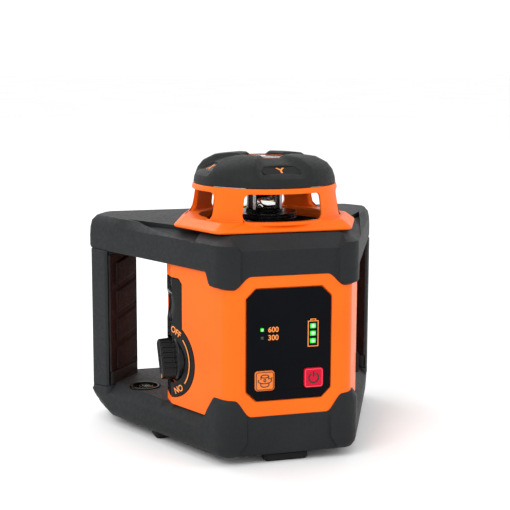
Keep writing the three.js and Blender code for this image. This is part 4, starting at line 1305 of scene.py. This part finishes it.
def rotor():
    """The turning head: dark discs above and below the prism, joined by posts."""
    low, high = low_high("rotor_housing")
    radius = high.x
    body = turned(
        "rotor_housing_skin",
        [
            (5.6, low.z), (radius, low.z), (radius, low.z + 1.6), (radius - 1.2, low.z + 2.6),
            (radius - 1.2, high.z - 4), (radius, high.z - 3), (radius, high.z - 0.6),
            (radius - 0.6, high.z), (4.6, high.z), (4.6, high.z - 3.4), (5.6, high.z - 3.4),
        ],
        sides=96,
    )
    cut(body, box("beam_window", (-7, 7), (-20, 20), (low.z + 2.6, high.z - 4)))
    bevel(body, 0.25, 2)
    piece(body, "rotor", INLAY, "panel_black", "rotor_housing")
    for k, (sx, sy) in enumerate(((-1, -1), (1, -1), (-1, 1), (1, 1))):
        post = turned(
            "rotor_post_" + str(k),
            [(0, low.z + 1.7), (1.1, low.z + 1.7), (1.1, high.z - 3.2), (0, high.z - 3.2)],
            sides=20,
            centre=(sx * 8.6, sy * 7.2),
            closed=False,
        )
        piece(bevel(post, 0.15, 2), "rotor", STEEL, "steel")
    section = rectangle(radius - 0.4, radius + 0.12, high.z - 2.4, high.z - 1.4)
    band = turned("rotor_band", [(r, z) for r, z, _ in section], sides=96)
    piece(band, "rotor", STEEL, "steel")


head_cage()
head_cap()
cap_ring()
rotor()


# ---- Back, port and vial ------------------------------------------------------------------------
def battery_cover():
    low, high = low_high("battery_cover")
    spans = (low.x, high.x, low.z, high.z)
    cover = plate("battery_cover_skin", spans, 3.7, low.y, high.y)
    tools = []
    for k in range(5):
        z = low.z + 8 + 4.2 * k
        spans = (-16, 16, z - 0.8, z + 0.8)
        tools.append(plate("groove", spans, 0.7, high.y - 0.9, high.y + 1, steps=4))
    for name in ("cover_screw_left", "cover_screw_right"):
        a, b = low_high(name)
        centre = ((a.x + b.x) / 2, (a.z + b.z) / 2)
        tools.append(disc("screw_seat", 2.9, high.y - 1.3, high.y + 1, "front", centre, 40))
        tools.append(disc("screw_hole", 1.6, low.y - 1, high.y + 1, "front", centre, 24))
    cut(cover, *tools)
    bevel(cover, 0.4, 2)
    piece(cover, "case", CHARCOAL, "frame_charcoal", "battery_cover")


def cover_screws():
    for name in ("cover_screw_left", "cover_screw_right"):
        low, high = low_high(name)
        centre = ((low.x + high.x) / 2, (low.z + high.z) / 2)
        screw = turned(
            name + "_skin",
            [
                (0, low.y), (1.2, low.y), (1.2, high.y - 0.8), (2.6, high.y - 0.8),
                (2.6, high.y - 0.35), (1.8, high.y), (0, high.y),
            ],
            40, "front", centre, closed=False,
        )
        cross = []
        for wide, tall in ((1.5, 0.32), (0.32, 1.5)):
            x, z = centre
            spans = (x - wide, x + wide, z - tall, z + tall)
            cross.append(plate("cross", spans, 0, high.y - 0.6, high.y + 1))
        cut(screw, *cross)
        piece(screw, "case", STEEL, "steel", name)


def port_cover():
    low, high = low_high("port_cover")
    spans = (low.y, high.y, low.z, high.z)
    flap = plate("port_cover_skin", spans, 2.6, low.x, high.x, "side")
    spans = (low.y + 3.5, high.y - 3.5, low.z, low.z + 2.2)
    lip = plate("lip", spans, 0.8, low.x, high.x, "side", 4)
    spans = (low.y + 2, high.y - 2, low.z + 3.4, high.z - 2)
    cut(join(flap, lip), plate("step", spans, 1.6, high.x - 0.45, high.x + 1, "side"))
    bevel(flap, 0.35, 2)
    piece(flap, "port_flap", FOOT_RUBBER, "foot_rubber", "port_cover")


def vial_marks():
    """The printed ring and the bubble of the round spirit level."""
    low, high = low_high("vial_glass")
    x, y = (low.x + high.x) / 2, (low.y + high.y) / 2
    section = rectangle(3.3, 3.8, high.z + 0.02, high.z + 0.1)
    ring = turned("vial_ring", [(r, z) for r, z, _ in section], 48, centre=(x, y))
    piece(ring, "case", PRINT_DARK, "panel_black")
    steps = 8
    dome = []
    for k in range(steps + 1):
        angle = math.pi * k / steps
        dome.append((abs(2.7 * math.sin(angle)), high.z - 0.6 - 0.9 * math.cos(angle)))
    bubble = turned("vial_bubble", dome, 40, centre=(x + 0.5, y - 0.4), closed=False)
    piece(bubble, "case", BUBBLE, "clear_glass")


battery_cover()
cover_screws()
port_cover()
vial_marks()


# ---- CAD nodes that keep their shape ------------------------------------------------------------
DRESSED = {
    (PANEL, 0.25): ["control_panel"],
    (LED_ON, 0.0): [
        "speed_led_fast", "battery_led_top", "battery_led_middle", "battery_led_bottom",
    ],
    (LED_OFF, 0.0): ["speed_led_slow"],
    (GLASS, 0.0): ["cap_window", "pentaprism", "collimator_lens"],
    (VIAL_LIQUID, 0.0): ["vial_glass"],
    (KNOB_BLACK, 0.2): ["rotor_pulley"],
    (INLAY, 0.3): ["vial_cup"],
    (FOOT_RUBBER, 0.6): [
        "front_foot", "left_foot", "right_foot", "back_left_foot", "back_right_foot",
    ],
    (FOOT_RUBBER, 0.0): ["drive_belt"],
    (BRASS, 0.25): [
        "tripod_insert", "gimbal_ring", "motor_pulley", "brake_guide", "balance_weight",
        "laser_module",
    ],
    (STEEL, 0.15): [
        "charging_socket", "lock_shaft", "bracket_pin_left", "bracket_pin_right", "ring_pin_front",
        "ring_pin_back", "rotor_bearing", "drive_motor", "speed_switch", "power_switch",
    ],
    (ALUMINIUM, 0.3): ["base_plate", "gimbal_bracket", "pendulum_body", "brake_cup"],
    (BOARD, 0.0): ["main_board"],
    (WRAP, 0.5): ["battery_pack"],
}
for (look, edge), nodes in DRESSED.items():
    for node in nodes:
        dress(node, look, edge)
